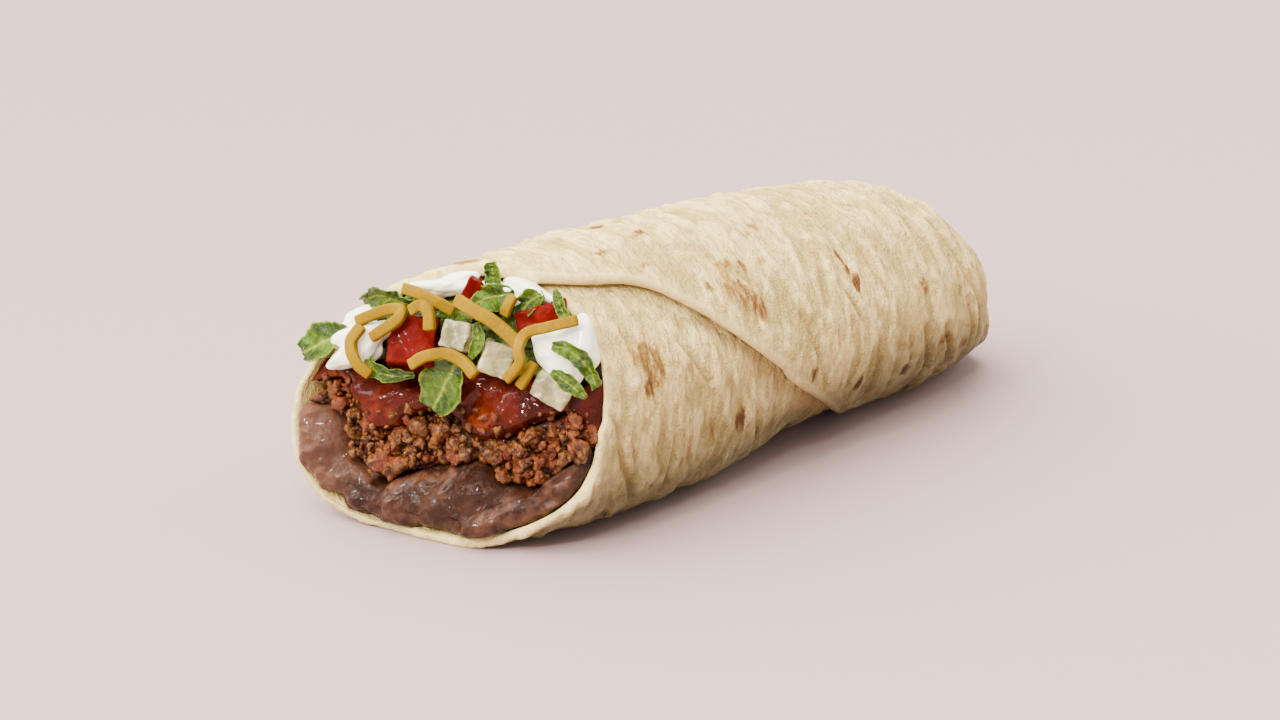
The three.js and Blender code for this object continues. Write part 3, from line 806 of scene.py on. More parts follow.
SKIN_RADIUS = 26.0
TOASTS = tuple(Toast(*row) for row in (
    (32.0, 158, 3.4, 7.0, 0.42), (58.0, 139, 4.6, 5.6, 0.42), (31.4, 154, 2.4, 3.4, 0.7),
    (32.2, 161, 2.0, 3.0, 0.75), (30.4, 166, 1.3, 2.0, 1.05), (34.0, 158, 0.8, 3.4, 0.85),
    (53.7, 190, 0.9, 2.9, 1.0), (46.4, 189, 0.7, 2.6, 0.6), (56.6, 140, 3.0, 2.6, 0.7),
    (60.0, 149, 1.8, 2.8, 0.8), (58.2, 144, 2.2, 3.2, 0.6), (61.2, 131, 1.6, 1.0, 0.9),
    (57.4, 128, 2.2, 0.9, 0.6), (66.5, 131, 1.3, 1.0, 0.5), (86.0, 137, 0.7, 1.9, 1.5),
    (86.6, 144, 0.5, 2.0, 1.0), (87.6, 151, 0.8, 2.3, 1.6), (107.2, 158, 0.7, 1.2, 0.7),
    (107.6, 164, 0.7, 1.3, 0.75), (105.6, 171, 0.5, 1.2, 0.45), (103.0, 205, 1.0, 1.8, 1.35),
    (87.4, 200, 0.8, 1.9, 1.25), (72.2, 185, 0.7, 1.3, 1.0), (23.9, 223, 1.9, 0.9, 1.0),
    (27.8, 226, 1.0, 0.7, 0.8), (30.5, 205, 0.8, 1.2, 0.6), (25.6, 187, 0.6, 1.6, 0.65),
    (47.3, 99, 1.7, 1.2, 0.85), (44.5, 79, 1.8, 0.6, 1.3), (35.8, 104, 2.0, 0.8, 0.7),
    (41.0, 117, 1.8, 0.7, 0.6), (55.9, 121, 1.2, 0.8, 0.5), (68.3, 117, 1.4, 0.9, 0.6),
    (71.4, 112, 1.7, 0.8, 0.75), (51.2, 135, 1.4, 0.8, 0.6), (88.3, 111, 1.8, 0.7, 0.6),
    (99.8, 112, 1.9, 0.6, 0.55), (113.0, 191, 0.7, 1.7, 0.7), (115.8, 196, 0.9, 2.4, 0.8),
    (123.6, 202, 1.0, 1.6, 0.7), (116.6, 211, 1.0, 1.3, 0.8), (95.7, 206, 0.8, 2.0, 0.5),
    (96.8, 184, 0.7, 1.8, 0.35), (119.4, 167, 0.8, 2.2, 0.45), (126.8, 126, 1.0, 2.0, 0.45),
    (128.5, 153, 0.8, 1.6, 0.5), (80.5, 196, 0.6, 2.2, 0.45), (64.0, 205, 0.8, 2.6, 0.4),
    (40.5, 196, 0.7, 2.0, 0.45),
))
CREASES = tuple(Crease(*row) for row in (
    (79.0, 118, 81.6, 136, 1.0, 0.8), (81.6, 134, 78.2, 158, 1.1, 0.8), (39.7, 150, 46.6, 180, 0.6, 0.45),
    (83.4, 150, 88.2, 175, 0.7, 0.5), (111.6, 126, 114.8, 152, 0.8, 0.7),
    (119.4, 128, 124.6, 166, 0.9, 0.8), (106.7, 182, 111.6, 214, 0.8, 0.8),
    (113.8, 184, 119.4, 214, 0.9, 0.9), (126.0, 160, 129.6, 196, 0.9, 0.8),
    (98.2, 160, 99.6, 214, 0.7, 0.4), (91.6, 176, 93.4, 222, 0.6, 0.45), (28.4, 140, 30.6, 150, 0.5, 0.3),
    (20.8, 172, 27.6, 214, 0.7, 0.5), (36.4, 180, 34.8, 216, 0.6, 0.4), (58.4, 190, 61.0, 222, 0.7, 0.4),
    (67.5, 130, 70.0, 152, 0.6, 0.3), (92.0, 112, 97.5, 140, 0.8, 0.4), (103.0, 108, 109.0, 150, 0.7, 0.4),
    (116.0, 112, 121.0, 142, 0.8, 0.45), (122.5, 172, 127.0, 206, 0.7, 0.5),
    (100.6, 176, 104.6, 208, 0.6, 0.4), (70.6, 158, 76.2, 196, 0.6, 0.35),
    (50.2, 112, 60.4, 121, 0.8, 0.35),
))


@dataclass
class Tortilla:
    """The rolled sheet: its skin, its raised outer edge, its lip at the mouth and its tucked tail."""

    columns: int = 196
    body_rows: int = 286
    tail_rows: int = 112
    step: float = 1.8
    fade: float = 70.0
    standoff: float = 1.0
    standoff_reach: float = 0.3
    under_width: float = 10.0
    shade_depth: float = 0.88
    shade_width: float = 5.4
    lip_width: float = 5.0
    lip_calm: float = 0.6
    rim_lip: float = 0.7
    rim_reach: float = 0.012
    waver: float = 0.4
    waver_reach: float = 0.03
    sway: tuple[float, float] = (0.55, 0.9)
    # Degrees below the top over which the painted shade on the lower side comes in.
    damp_from: tuple[float, float] = (74, 124)
    inner_rows: int = 14
    cavity_end: float = 0.88
    lip_turns: tuple[int, ...] = (150, 120, 90, 60, 30)
    small_toasts: tuple[tuple, ...] = (
        (150, (5, 140), (-180, 180), (0.3, 0.9), (0.5, 1.8), (0.15, 0.5)),
        (26, (15, 138), (-150, 80), (0.8, 3.2), (1.0, 4.0), (0.5, 1.0)),
    )
    deepest: float = 1.0
    tucks: int = 5
    tuck_depth: float = 1.6
    dent_depth: float = 0.35
    swell_depth: float = 0.25
    puff_depth: float = 0.34
    puff_change: float = 0.2
    raised_height: float = 0.3
    wrinkle_depth: float = 0.12
    route: Curve = (
        (0, 106), (0.05, 114.5), (0.127, 123.5), (0.194, 141), (0.249, 155),
        (0.33, 173), (0.479, 203), (0.7, 250), (1, 300),
    )

    def rise(self, behind: Array) -> Array:
        """Gives how far the outer sheet stands proud, by degrees behind its edge."""
        return self.step / 2 * (bell(behind, self.fade) - bell(360 - behind, self.fade))

    def seam(self) -> tuple[Array, Array, Array]:
        """Gives the edge's own columns: degrees behind it, heights for a step of 1.8 mm, and shade."""
        rows = np.array([
            (359.6, -0.92, 0.25), (361.2, -1.1, 0.7), (362.6, -1.25, 1), (363.2, -1.2, 1), (3.0, -1.0, 1),
            (2.0, -0.84, 0.9), (1.1, -0.76, 0.6), (0.45, -0.6, 0.25), (0.1, -0.3, 0.08), (0.0, 0.1, 0),
            (0.25, 0.5, 0), (0.9, 0.84, 0), (2.0, 1.04, 0), (3.1, 1.04, 0),
        ])
        return tuple(rows.T)

    def relief(self, points: Array, share: Array, angle: Array) -> Array:
        """Gives the skin's hollows, swells and tucks, in millimetres outwards."""
        x = points[..., 0]
        gathered = smoothstep(share, 0.84, 1)
        tuck = np.abs(np.sin(np.radians(self.tucks * (angle + 40 * share)) / 2))
        dent = np.sin(x / 21 + 2.3 * np.sin(np.radians(angle)))
        total = -self.tuck_depth * gathered * (1 - tuck) - self.dent_depth * dent * (1 - gathered) * share
        total += self.swell_depth * round_noise(3, points, 13, 17, 2)
        strength = self.puff_depth + self.puff_change * Noise(14).at(points / 16)
        skin = strength * self.puffs(points) + self.raised_height * self.raised(points)
        skin += self.wrinkle_depth * round_noise(6, points, 1.0, 2.8, 2, 0.6) - self.creased(x, angle)
        return total + np.where(skin < 0, self.deepest * np.tanh(skin / self.deepest), skin)

    def creased(self, x: Array, angle: Array) -> Array:
        """Gives how deep the creases are, in millimetres."""
        turned = (angle + 180) % 360 - 180
        arc = np.radians(np.where(turned < -60, turned + 360, turned)) * SKIN_RADIUS
        return sum(crease.hollow(x, arc) for crease in CREASES)

    def puffs(self, points: Array) -> Array:
        """Gives the long puffs of the dough, which lie across the roll, from about -1 to 1."""
        return round_noise(5, points, 3.0, 9, 3, 0.6)

    def hollow(self, points: Array, angle: Array) -> Array:
        """Gives how much each point lies between puffs or in a crease, from 0 to 1; the material paints shade
        there.
        """
        between = smoothstep(-self.puffs(points), 0.1, 0.65)
        return np.maximum(between, smoothstep(self.creased(points[..., 0], angle), 0.2, 1.1))

    def raised(self, points: Array) -> Array:
        """Gives where the dough has puffed up and its flour stays white, from 0 to 1."""
        return smoothstep(round_noise(8, points, 2.6, 6.0, 3, 0.55), 0.02, 0.42)

    def ring(self, share: Array, inner: bool) -> tuple[Array, Array, Array, Array]:
        """Places rows of skin.

        Args:
            share: each row's share of the way from mouth to tail.
            inner: whether the rows line the inside, which has no raised edge.

        Returns:
            The points, their angles, how deep each is in the edge's shade, and how much it is lip.
        """
        seam_behind, seam_height, seam_shade = self.seam()
        plain = np.linspace(3.6, 358.4, self.columns)
        behind = np.concatenate([plain, seam_behind])
        heights = np.concatenate([self.rise(plain), seam_height])
        share = share[:, None]
        edge = np.full_like(share, self.route[0][1]) if inner else follow(self.route, share)
        angle = edge - behind
        x = ROLL.along(angle, share)
        if inner:
            inset = np.full_like(angle, ROLL.sheet)
            return ROLL.skin(x, angle, inset, ROLL.sheet), angle, 0 * angle, 0 * angle
        under = bell(360 - behind, self.under_width) * (behind > 180)
        under = np.maximum(under, (behind > 359) * 1.0)
        stand = self.standoff * bell(share, self.standoff_reach)
        shade = np.concatenate([self.shade_depth * bell(plain[-1] - plain, self.shade_width), seam_shade])
        lip = bell(behind, self.lip_width) * (behind < 90)
        rough = ROLL.skin(x, angle, -heights + 0 * share, 0.0)
        relief = self.relief(rough, share, angle) * (1 - self.lip_calm * lip)
        lift = heights - stand * under + relief
        return ROLL.skin(x, angle, -lift, 0.0), angle, shade + 0 * angle, lip + 0 * angle

    def build(self) -> Object:
        """Builds the sheet as one closed mesh, and stores the numbers that its material reads."""
        body = np.linspace(0, ROLL.tail_start, self.body_rows)
        turn = np.radians(90 * np.arange(1, self.tail_rows) / self.tail_rows)
        tail = ROLL.tail_start + (1 - ROLL.tail_start) * np.sin(turn) ** (2 / ROLL.tail_power)
        shares = np.concatenate([body, tail])
        outer, angle, shade, lip_mask = self.ring(shares, False)
        back = np.linspace(self.cavity_end, 0, self.inner_rows)
        inner, inner_angle, inner_shade, _ = self.ring(back, True)
        waver = self.waver * Noise(21).octaves(outer[:1] / 7, 3)
        outer[:, :, 0] += waver * bell(shares[:, None], self.waver_reach)
        inner[-4:, :, 0] += waver
        lip = []
        for turned in np.radians(self.lip_turns):
            ring = mix(outer[0], inner[-1], (1 - math.cos(turned)) / 2)
            ring[:, 0] -= ROLL.lip * math.sin(turned)
            lip.append(ring)
        body = np.concatenate([inner, np.array(lip), outer])
        points, faces = rings(inner[0].mean(0), body, np.array([ROLL.length, 0, body[-1, :, 2].mean()]))
        made = make_object("tortilla_sheet", points, faces)

        def spread(inside: Array, rows: Array) -> Array:
            """Carries values of the rows over the poles and the lip."""
            lip_rows = np.repeat(rows[:1], len(self.lip_turns), 0)
            return np.concatenate([[0], inside.ravel(), lip_rows.ravel(), rows.ravel(), [0]])

        angles = spread(inner_angle, angle)
        below_top = np.abs((angle + 90) % 360 - 180)
        # Painted shade: darker towards the underside, by how far each point lies below the top.
        damp = smoothstep(below_top, *self.damp_from) * smoothstep(shares[:, None], -0.005, self.rim_reach)
        rim = self.rim_lip * bell(shares[:, None], self.rim_reach) + 0 * angle
        for name, values in (
            ("toast", self.toast(points, angles)),
            ("raised", self.raised(points)),
            # The hollow mask carries painted shade between the puffs and in the creases.
            ("hollow", self.hollow(points, angles)),
            ("shade", spread(inner_shade, shade)),
            ("damp", spread(inner_shade, damp)),
            ("lip", spread(inner_shade, np.maximum(lip_mask, rim))),
        ):
            set_attribute(made, name, values)
        return made

    def toast(self, points: Array, angle: Array) -> Array:
        """Gives how toasted each point is."""
        draw = np.random.default_rng(44)
        spots = list(TOASTS)
        for count, *limits in self.small_toasts:
            spots += [Toast(*(draw.uniform(*limit) for limit in limits)) for _ in range(count)]
        sway = [round_noise(seed, points, 1.3, 3.4, 2) for seed in (31, 32)]
        total = np.zeros(len(points))
        for spot in spots:
            arc = np.radians((angle - spot.angle + 180) % 360 - 180) * SKIN_RADIUS
            along = (points[:, 0] + self.sway[0] * sway[0] - spot.x) / spot.along
            far = along**2 + ((arc + self.sway[1] * sway[1]) / spot.around) ** 2
            total = np.maximum(total, spot.dark * smoothstep(-far, -1.9, -0.1))
        return total


# The layers of filling.


@dataclass(frozen=True)
class Layer:
    """One layer of filling: its name, its height curves at the mouth, and how its face stands out."""

    name: str
    node: str
    slot: Slot
    lower: Callable[[Array], Array]
    upper: Callable[[Array], Array]
    out: float
    lump: float
    size: float
    counts: tuple[int, int, int]
    fine: float = 0.0
    fine_size: float = 2.0
    pillows: bool = False
    edge: float = 0.9
    edge_power: float = 8
    filled_to: float = 0.85
    slant: float = 1.2
    seed: int = 51
    fill: float = 0.0
    overlap: float = 0.0
    knobs: float = 0.0
    knob_size: float = 1.1
    coarse: float = 0.65
    step_back: float = 0.5

    def place(self, share: Array, height: Array, along: Array) -> Array:
        """Puts the layer's points, given as shares across, up and along it."""
        across = 2 * share - 1
        rows = self.counts[2]
        back = np.maximum(along * rows - 1, 0) / (rows - 1)
        collar = along < 0.5 / rows
        gap = mix(ROLL.gap, ROLL.inside_gap, np.minimum(3 * back, 1))
        bulge = np.maximum(np.sin(np.pi * height) * (1 - across**4), self.fill)
        flat = self.cut(across, height, np.zeros_like(share), gap)
        a, b, c = (flat[..., i] / self.size for i in range(3))
        low = np.sin(2.1 * a + 1.3 * b + 0.7) * np.sin(1.7 * b - 1.1 * c + 2.1)
        high = np.sin(3.9 * b + 2.3 * c + 4.0) * np.sin(3.1 * a - 3.3 * c + 1.2)
        lump = self.coarse * low + (1 - self.coarse) * high
        detail = self.fine * Noise(self.seed).octaves(flat / self.fine_size, 3, 0.5, self.pillows)
        knobs = Noise(self.seed + 1).octaves(flat / self.knob_size, 2, 0.6)
        detail = detail + self.knobs * (1 - across**8) * knobs
        corner = np.maximum(np.abs(across) ** 14, np.abs(2 * height - 1) ** self.edge_power)
        out = self.out + self.lump * (lump + bulge - 0.5) + detail - self.edge * corner
        front = ROLL.mouth_face(flat[..., 1], flat[..., 2]) - self.slant * out + self.step_back * ~collar
        gap = gap - collar * self.overlap * smoothstep(out, 0.7, 1.6)
        return self.cut(across, height, mix(front, self.filled_to * ROLL.length, back**1.6), gap)

    def cut(self, across: Array, height: Array, x: Array, gap: Array) -> Array:
        """Puts points in the cross-section at x, a gap away from the sheet."""
        _, rise, axis = ROLL.section(x, ROLL.sheet + gap)
        scale = rise / (ROLL.half_height - ROLL.sheet - ROLL.gap)
        floor = np.maximum(axis - rise * 0.985, ROLL.sheet + gap)
        top = axis + rise * 0.985
        low = np.clip(axis + self.lower(across) * scale, floor, top)
        high = np.clip(axis + self.upper(across) * scale, floor, top)
        z = mix(low, high, height)
        return np.stack(np.broadcast_arrays(x, across * ROLL.space_at(x, z, gap), z), -1)

    def build(self) -> Object:
        """Builds the layer's mesh."""
        points, faces, _ = block(self.counts, self.place)
        return make_object(self.name, points, faces)


@dataclass(frozen=True)
class Heights:
    """Where the layers meet at the mouth: heights above the axis at shares across it."""

    beans: Curve = (
        (-1, -2.4), (-0.88, -5.8), (-0.72, -11.6), (-0.55, -11.4), (-0.3, -8.4), (0, -10.4),
        (0.2, -12.4), (0.42, -14.8), (0.62, -10.6), (0.76, -4.2), (0.9, -2.4), (1, -3),
    )
    beef: Curve = (
        (-1, -2), (-0.92, 0.6), (-0.8, 2.6), (-0.6, 0), (-0.4, -3.6), (-0.26, -4.6), (-0.1, -2.8),
        (0.04, -0.6), (0.2, -1.6), (0.35, -4.9), (0.48, -4.6), (0.6, -1), (0.7, 2.1), (0.88, 1.8), (1, 1),
    )
    sauce: Curve = (
        (-1, 8.6), (-0.85, 7.4), (-0.72, 5.2), (-0.5, 6.6), (-0.24, 8.2),
        (0.1, 6.6), (0.35, 4.6), (0.57, 4.2), (0.85, 6.6), (1, 5.2),
    )
    least: float = 1.2

    def beans_top(self, across: Array) -> Array:
        """The top of the beans."""
        return follow(self.beans, across)

    def beef_top(self, across: Array) -> Array:
        """The top of the mince."""
        return np.maximum(follow(self.beef, across), self.beans_top(across) + self.least)

    def sauce_top(self, across: Array) -> Array:
        """The top of the sauce."""
        return np.maximum(follow(self.sauce, across), self.beef_top(across) + self.least)


HEIGHTS = Heights()
HALF_GAP = 0.1
FAR = 99.0

BEANS = Layer("refried_beans_paste", "refried_beans", Slot.BEANS, lambda a: 0 * a - FAR,
              lambda a: HEIGHTS.beans_top(a) - HALF_GAP, 1.9, 1.9, 7, (210, 64, 9), 1.05, 3.9,
              edge=2.0, fill=0.3, overlap=0.3, knobs=0.15)
BEEF = Layer("ground_beef_core", "ground_beef", Slot.BEEF, lambda a: HEIGHTS.beans_top(a) + HALF_GAP,
             lambda a: HEIGHTS.beef_top(a) - HALF_GAP, -1.0, 1.0, 4, (210, 40, 7), 0.8, 1.9, pillows=True)
SAUCE = Layer("red_sauce_pool", "red_sauce", Slot.SAUCE, lambda a: HEIGHTS.beef_top(a) + HALF_GAP,
              lambda a: HEIGHTS.sauce_top(a) - HALF_GAP, 1.9, 1.2, 9, (210, 40, 7), 0.75, 5.0, edge=1.7,
              edge_power=5)
BED = Layer("lettuce_bed_heap", "lettuce_bed", Slot.LETTUCE, lambda a: HEIGHTS.sauce_top(a) + HALF_GAP,
            lambda a: 0 * a + FAR, -0.7, 1.4, 5, (120, 60, 6), 0.9, 2.4, pillows=True)


@dataclass(frozen=True)
class CrumbSort:
    """One sort of crumb: its piece's name, sizes in millimetres, spacing, and how far forward it sits."""

    name: str
    detail: int
    spacing: float
    smallest: float
    largest: float
    forward: float
    seed: int
    bias: float = 1.6
    host: Layer = BEEF
    band: tuple[float, float] = (0.1, 0.9)


CRUMB_SORTS = (
    CrumbSort("ground_beef_bits", 2, 2.4, 0.3, 1.15, 0.2, 5, host=SAUCE, band=(0.02, 0.45)),
    CrumbSort("ground_beef_crumbs", 3, 2.6, 1.0, 2.3, 1.7, 7),
    CrumbSort("ground_beef_grains", 2, 1.1, 0.3, 0.95, 2.0, 19),
)


FULL_TURN = 6.28


@dataclass
class Filling:
    """The four layers at the mouth, and the loose crumbs of mince on theirs."""

    crumb_shapes: int = 8
    patch_columns: int = 90
    patch_rows: int = 20
    patch_edge: float = 0.025

    def build(self) -> list[tuple[Object, Layer]]:
        """Builds the layers' meshes."""
        made = []
        for layer in (BEANS, BEEF, SAUCE, BED):
            body = layer.build()
            across = np.array([vertex.co.y for vertex in body.data.vertices]) / (ROLL.half_width * MM)
            # Painted light: the beans are painted paler towards their far side, where the light falls.
            set_attribute(body, "dry", smoothstep(across, 0.3, 0.85) * (layer is BEANS))
            for name in ("vein", "edge"):
                set_attribute(body, name, 0 * across)
            made.append((body, layer))
        return made

    def crumb_kinds(self, detail: int) -> bpy.types.Collection:
        """Builds the few crumb shapes that the scatter draws from: knobbly clots of fine grains."""
        kinds = bpy.data.collections.new("crumb_kinds")
        for k in range(self.crumb_shapes):
            bpy.ops.mesh.primitive_ico_sphere_add(subdivisions=detail, radius=MM)
            ball = bpy.context.active_object
            co = np.empty(len(ball.data.vertices) * 3)
            ball.data.vertices.foreach_get("co", co)
            unit = co.reshape(-1, 3) / MM
            noise = Noise(100 + k)
            swell = 1 + 0.55 * noise.at(unit * 1.1 + 9 * k)
            swell += 0.2 * noise.octaves(unit * 2.6 + 5 * k, 2, 0.6, True)
            shape = unit * swell[:, None] * np.array([1.0, 0.75 + 0.05 * k, 0.7])
            ball.data.vertices.foreach_set("co", (shape * MM).ravel())
            ball.data.polygons.foreach_set("use_smooth", np.ones(len(ball.data.polygons), bool))
            ball.name = f"crumb_kind_{k}"
            for owner in list(ball.users_collection):
                owner.objects.unlink(ball)
            kinds.objects.link(ball)
        return kinds

    def crumb_patch(self, sort: CrumbSort) -> Object:
        """Builds the part of a layer's face that the crumbs sit on."""
        columns = np.linspace(self.patch_edge, 1 - self.patch_edge, self.patch_columns)
        rows = np.linspace(*sort.band, self.patch_rows)
        share, height = np.meshgrid(columns, rows, indexing="ij")
        points = sort.host.place(share, height, np.zeros_like(share)).reshape(-1, 3)
        ids = np.arange(share.size).reshape(share.shape)
        quads = np.stack([ids[:-1, :-1], ids[:-1, 1:], ids[1:, 1:], ids[1:, :-1]], -1).reshape(-1, 4)
        return make_object(sort.name, points, [quads])

    def scatter_tree(self) -> NodeTree:
        """Builds the tree that scatters crumbs over a patch and makes them one mesh."""
        tree = bpy.data.node_groups.new("CrumbScatter", "GeometryNodeTree")
        w = NodeWriter(tree)
        given = w.declare((
            ("Geometry", "Geometry", None), ("Spacing", "Float", 0.0015), ("Density", "Float", 2000000.0),
            ("Smallest", "Float", 0.7), ("Largest", "Float", 2.0), ("Bias", "Float", 1.6),
            ("Forward", "Vector", (0, 0, 0)), ("Seed", "Int", 7), ("Kinds", "Collection", None),
            ("Finish", "Material", None),
        ), "Geometry", "Geometry")
        points = w.add("GeometryNodeDistributePointsOnFaces", distribute_method="POISSON",
                       Mesh=given["Geometry"], Distance_Min=given["Spacing"], Density_Max=given["Density"],
                       Seed=given["Seed"])
        reach = w.add("FunctionNodeRandomValue", data_type="FLOAT", Seed=w.math("ADD", given["Seed"], 3.0))
        offset = w.add("ShaderNodeVectorMath", operation="SCALE", in0=given["Forward"],
                       Scale=reach.outputs[1])
        moved = w.add("GeometryNodeSetPosition", Geometry=points.outputs["Points"],
                      Offset=offset.outputs[0])
        shapes = w.add("GeometryNodeCollectionInfo", Collection=given["Kinds"], Separate_Children=True,
                       Reset_Children=True)
        turn = w.add("FunctionNodeRandomValue", data_type="FLOAT_VECTOR", Seed=given["Seed"])
        turn.inputs["Max"].default_value = (FULL_TURN,) * 3
        draw = w.add("FunctionNodeRandomValue", data_type="FLOAT", Seed=given["Seed"])
        power = w.math("POWER", draw.outputs[1], given["Bias"])
        size = w.remap(power, 0.0, 1.0, (given["Smallest"], given["Largest"]))
        placed = w.add("GeometryNodeInstanceOnPoints", Points=moved.outputs[0], Instance=shapes.outputs[0],
                       Pick_Instance=True, Rotation=turn.outputs[0], Scale=size)
        real = w.add("GeometryNodeRealizeInstances", Geometry=placed.outputs[0])
        dressed = w.add("GeometryNodeSetMaterial", Geometry=real.outputs[0], Material=given["Finish"])
        w.add("NodeGroupOutput", in0=dressed.outputs[0])
        return tree

    def scatter(self, material: Material) -> list[Object]:
        """Scatters each sort of crumb over the mince's face.

        Args:
            material: the crumbs' material.

        Returns:
            One piece for each sort.
        """
        tree = self.scatter_tree()
        made = []
        for sort in CRUMB_SORTS:
            kinds = self.crumb_kinds(sort.detail)
            forward = tuple(float(value) * sort.forward * MM for value in ROLL.mouth_axes()[2])
            values = {
                "Spacing": sort.spacing * MM, "Smallest": sort.smallest, "Largest": sort.largest,
                "Bias": sort.bias, "Forward": forward, "Seed": sort.seed, "Kinds": kinds,
                "Finish": material,
            }
            made.append(apply_tree(self.crumb_patch(sort), tree, values))
            for ball in list(kinds.objects):
                bpy.data.objects.remove(ball)
            bpy.data.collections.remove(kinds)
        return made


def apply_tree(made: Object, tree: NodeTree, values: dict[str, object]) -> Object:
    """Runs a Geometry Nodes tree on an object and keeps the result as its plain mesh.

    Args:
        made: the object to work on.
        tree: the tree to run.
        values: the tree's inputs by name.

    Returns:
        The same object with its new mesh.
    """
    modifier = made.modifiers.new("shape", "NODES")
    modifier.node_group = tree
    for item in tree.interface.items_tree:
        if item.item_type == "SOCKET" and item.in_out == "INPUT" and item.name in values:
            modifier[item.identifier] = values[item.name]
    bpy.context.view_layer.update()
    ready = made.evaluated_get(bpy.context.evaluated_depsgraph_get())
    mesh = bpy.data.meshes.new_from_object(ready)
    made.modifiers.remove(modifier)
    made.data = mesh
    return made


# The toppings, in the mouth's frame: to the right, up it, and out of it.


def turned(degrees: Point) -> Array:
    """Gives the matrix of turns about X, then Y, then Z in the piece's own axes."""
    total = np.eye(3)
    for axis, angle in enumerate(np.radians(degrees)):
        first, second = (axis + 1) % 3, (axis + 2) % 3
        turn = np.eye(3)
        turn[first, first] = turn[second, second] = math.cos(angle)
        turn[second, first] = math.sin(angle)
        turn[first, second] = -math.sin(angle)
        total = total @ turn
    return total


@dataclass(frozen=True)
class Dice:
    """A cut cube of vegetable."""

    name: str
    slot: Slot
    size: Point
    at: Point
    turn: Point
    corner: float = 0.35
    steps: int = 22
    rough: float = 0.13
    skew: float = 0.09
    grain: float = 2.4

    def build(self) -> Object:
        """Builds the cube with soft corners and slightly uneven faces."""
        size = np.array(self.size) / 2

        def place(a: Array, b: Array, c: Array) -> Array:
            """Puts points of the cube, given as shares each way."""
            unit = np.stack([a, b, c], -1) * 2 - 1
            skew = 1 + self.skew * np.sin(7 * a + 5 * b + 3 * c + self.at[0])
            flat = unit * size * skew[:, None]
            core = np.clip(flat, -(size - self.corner), size - self.corner)
            away = flat - core
            long = np.linalg.norm(away, axis=-1, keepdims=True)
            shaped = core + self.corner * away / np.maximum(long, 1e-6) * np.minimum(long / self.corner, 1)
            noise = Noise(int(61 + self.at[1])).octaves(shaped / self.grain + self.at[0], 4, 0.6)
            normal = away / np.maximum(long, 1e-6)
            shaped = shaped + normal * self.rough * noise[:, None]
            return ROLL.from_mouth(shaped @ turned(self.turn).T + np.array(self.at))

        points, faces, _ = block((self.steps,) * 3, place)
        return make_object(self.name + "_dice", points, faces)


@dataclass(frozen=True)
class Dollop:
    """A spoonful of sour cream with a peak and soft folds."""

    name: str
    at: Point
    size: Point
    turn: float
    peak: Point = (0, 0, 0)
    lump: float = 0.12
    slot: Slot = Slot.CREAM
    rows: int = 56
    columns: int = 84
    fold: float = 0.1
    sharpness: float = 9

    def build(self) -> Object:
        """Builds the spoonful."""
        down, round_ = np.meshgrid(np.linspace(0, np.pi, self.rows + 2)[1:-1],
                                   np.linspace(0, 2 * np.pi, self.columns, endpoint=False), indexing="ij")
        body = self.shape(down, round_)
        poles = self.shape(np.array([0.0, np.pi]), np.zeros(2))
        points, faces = rings(poles[0], body, poles[1])
        return make_object(self.name + "_dollop", points, faces)

    def shape(self, down: Array, round_: Array) -> Array:
        """Puts points of the spoonful by their two angles."""
        flat = np.sin(down)
        direction = np.stack([flat * np.cos(round_), flat * np.sin(round_), np.cos(down)], -1)
        wave = np.sin(3 * direction[..., 0] + 4 * direction[..., 1] + self.at[0])
        swell = 1 + self.lump * wave * flat
        swell = swell + self.fold * Noise(71).octaves(direction * 1.9 + self.at[0], 2)
        solid = direction * np.array(self.size) * swell[..., None]
        shaped = solid @ turned((0, 0, self.turn)).T
        peak = np.array(self.peak, float)
        if np.any(peak):
            pull = np.maximum(direction @ (peak / np.linalg.norm(peak)), 0) ** self.sharpness
            shaped = shaped + pull[..., None] * peak
        return ROLL.from_mouth(shaped + np.array(self.at))


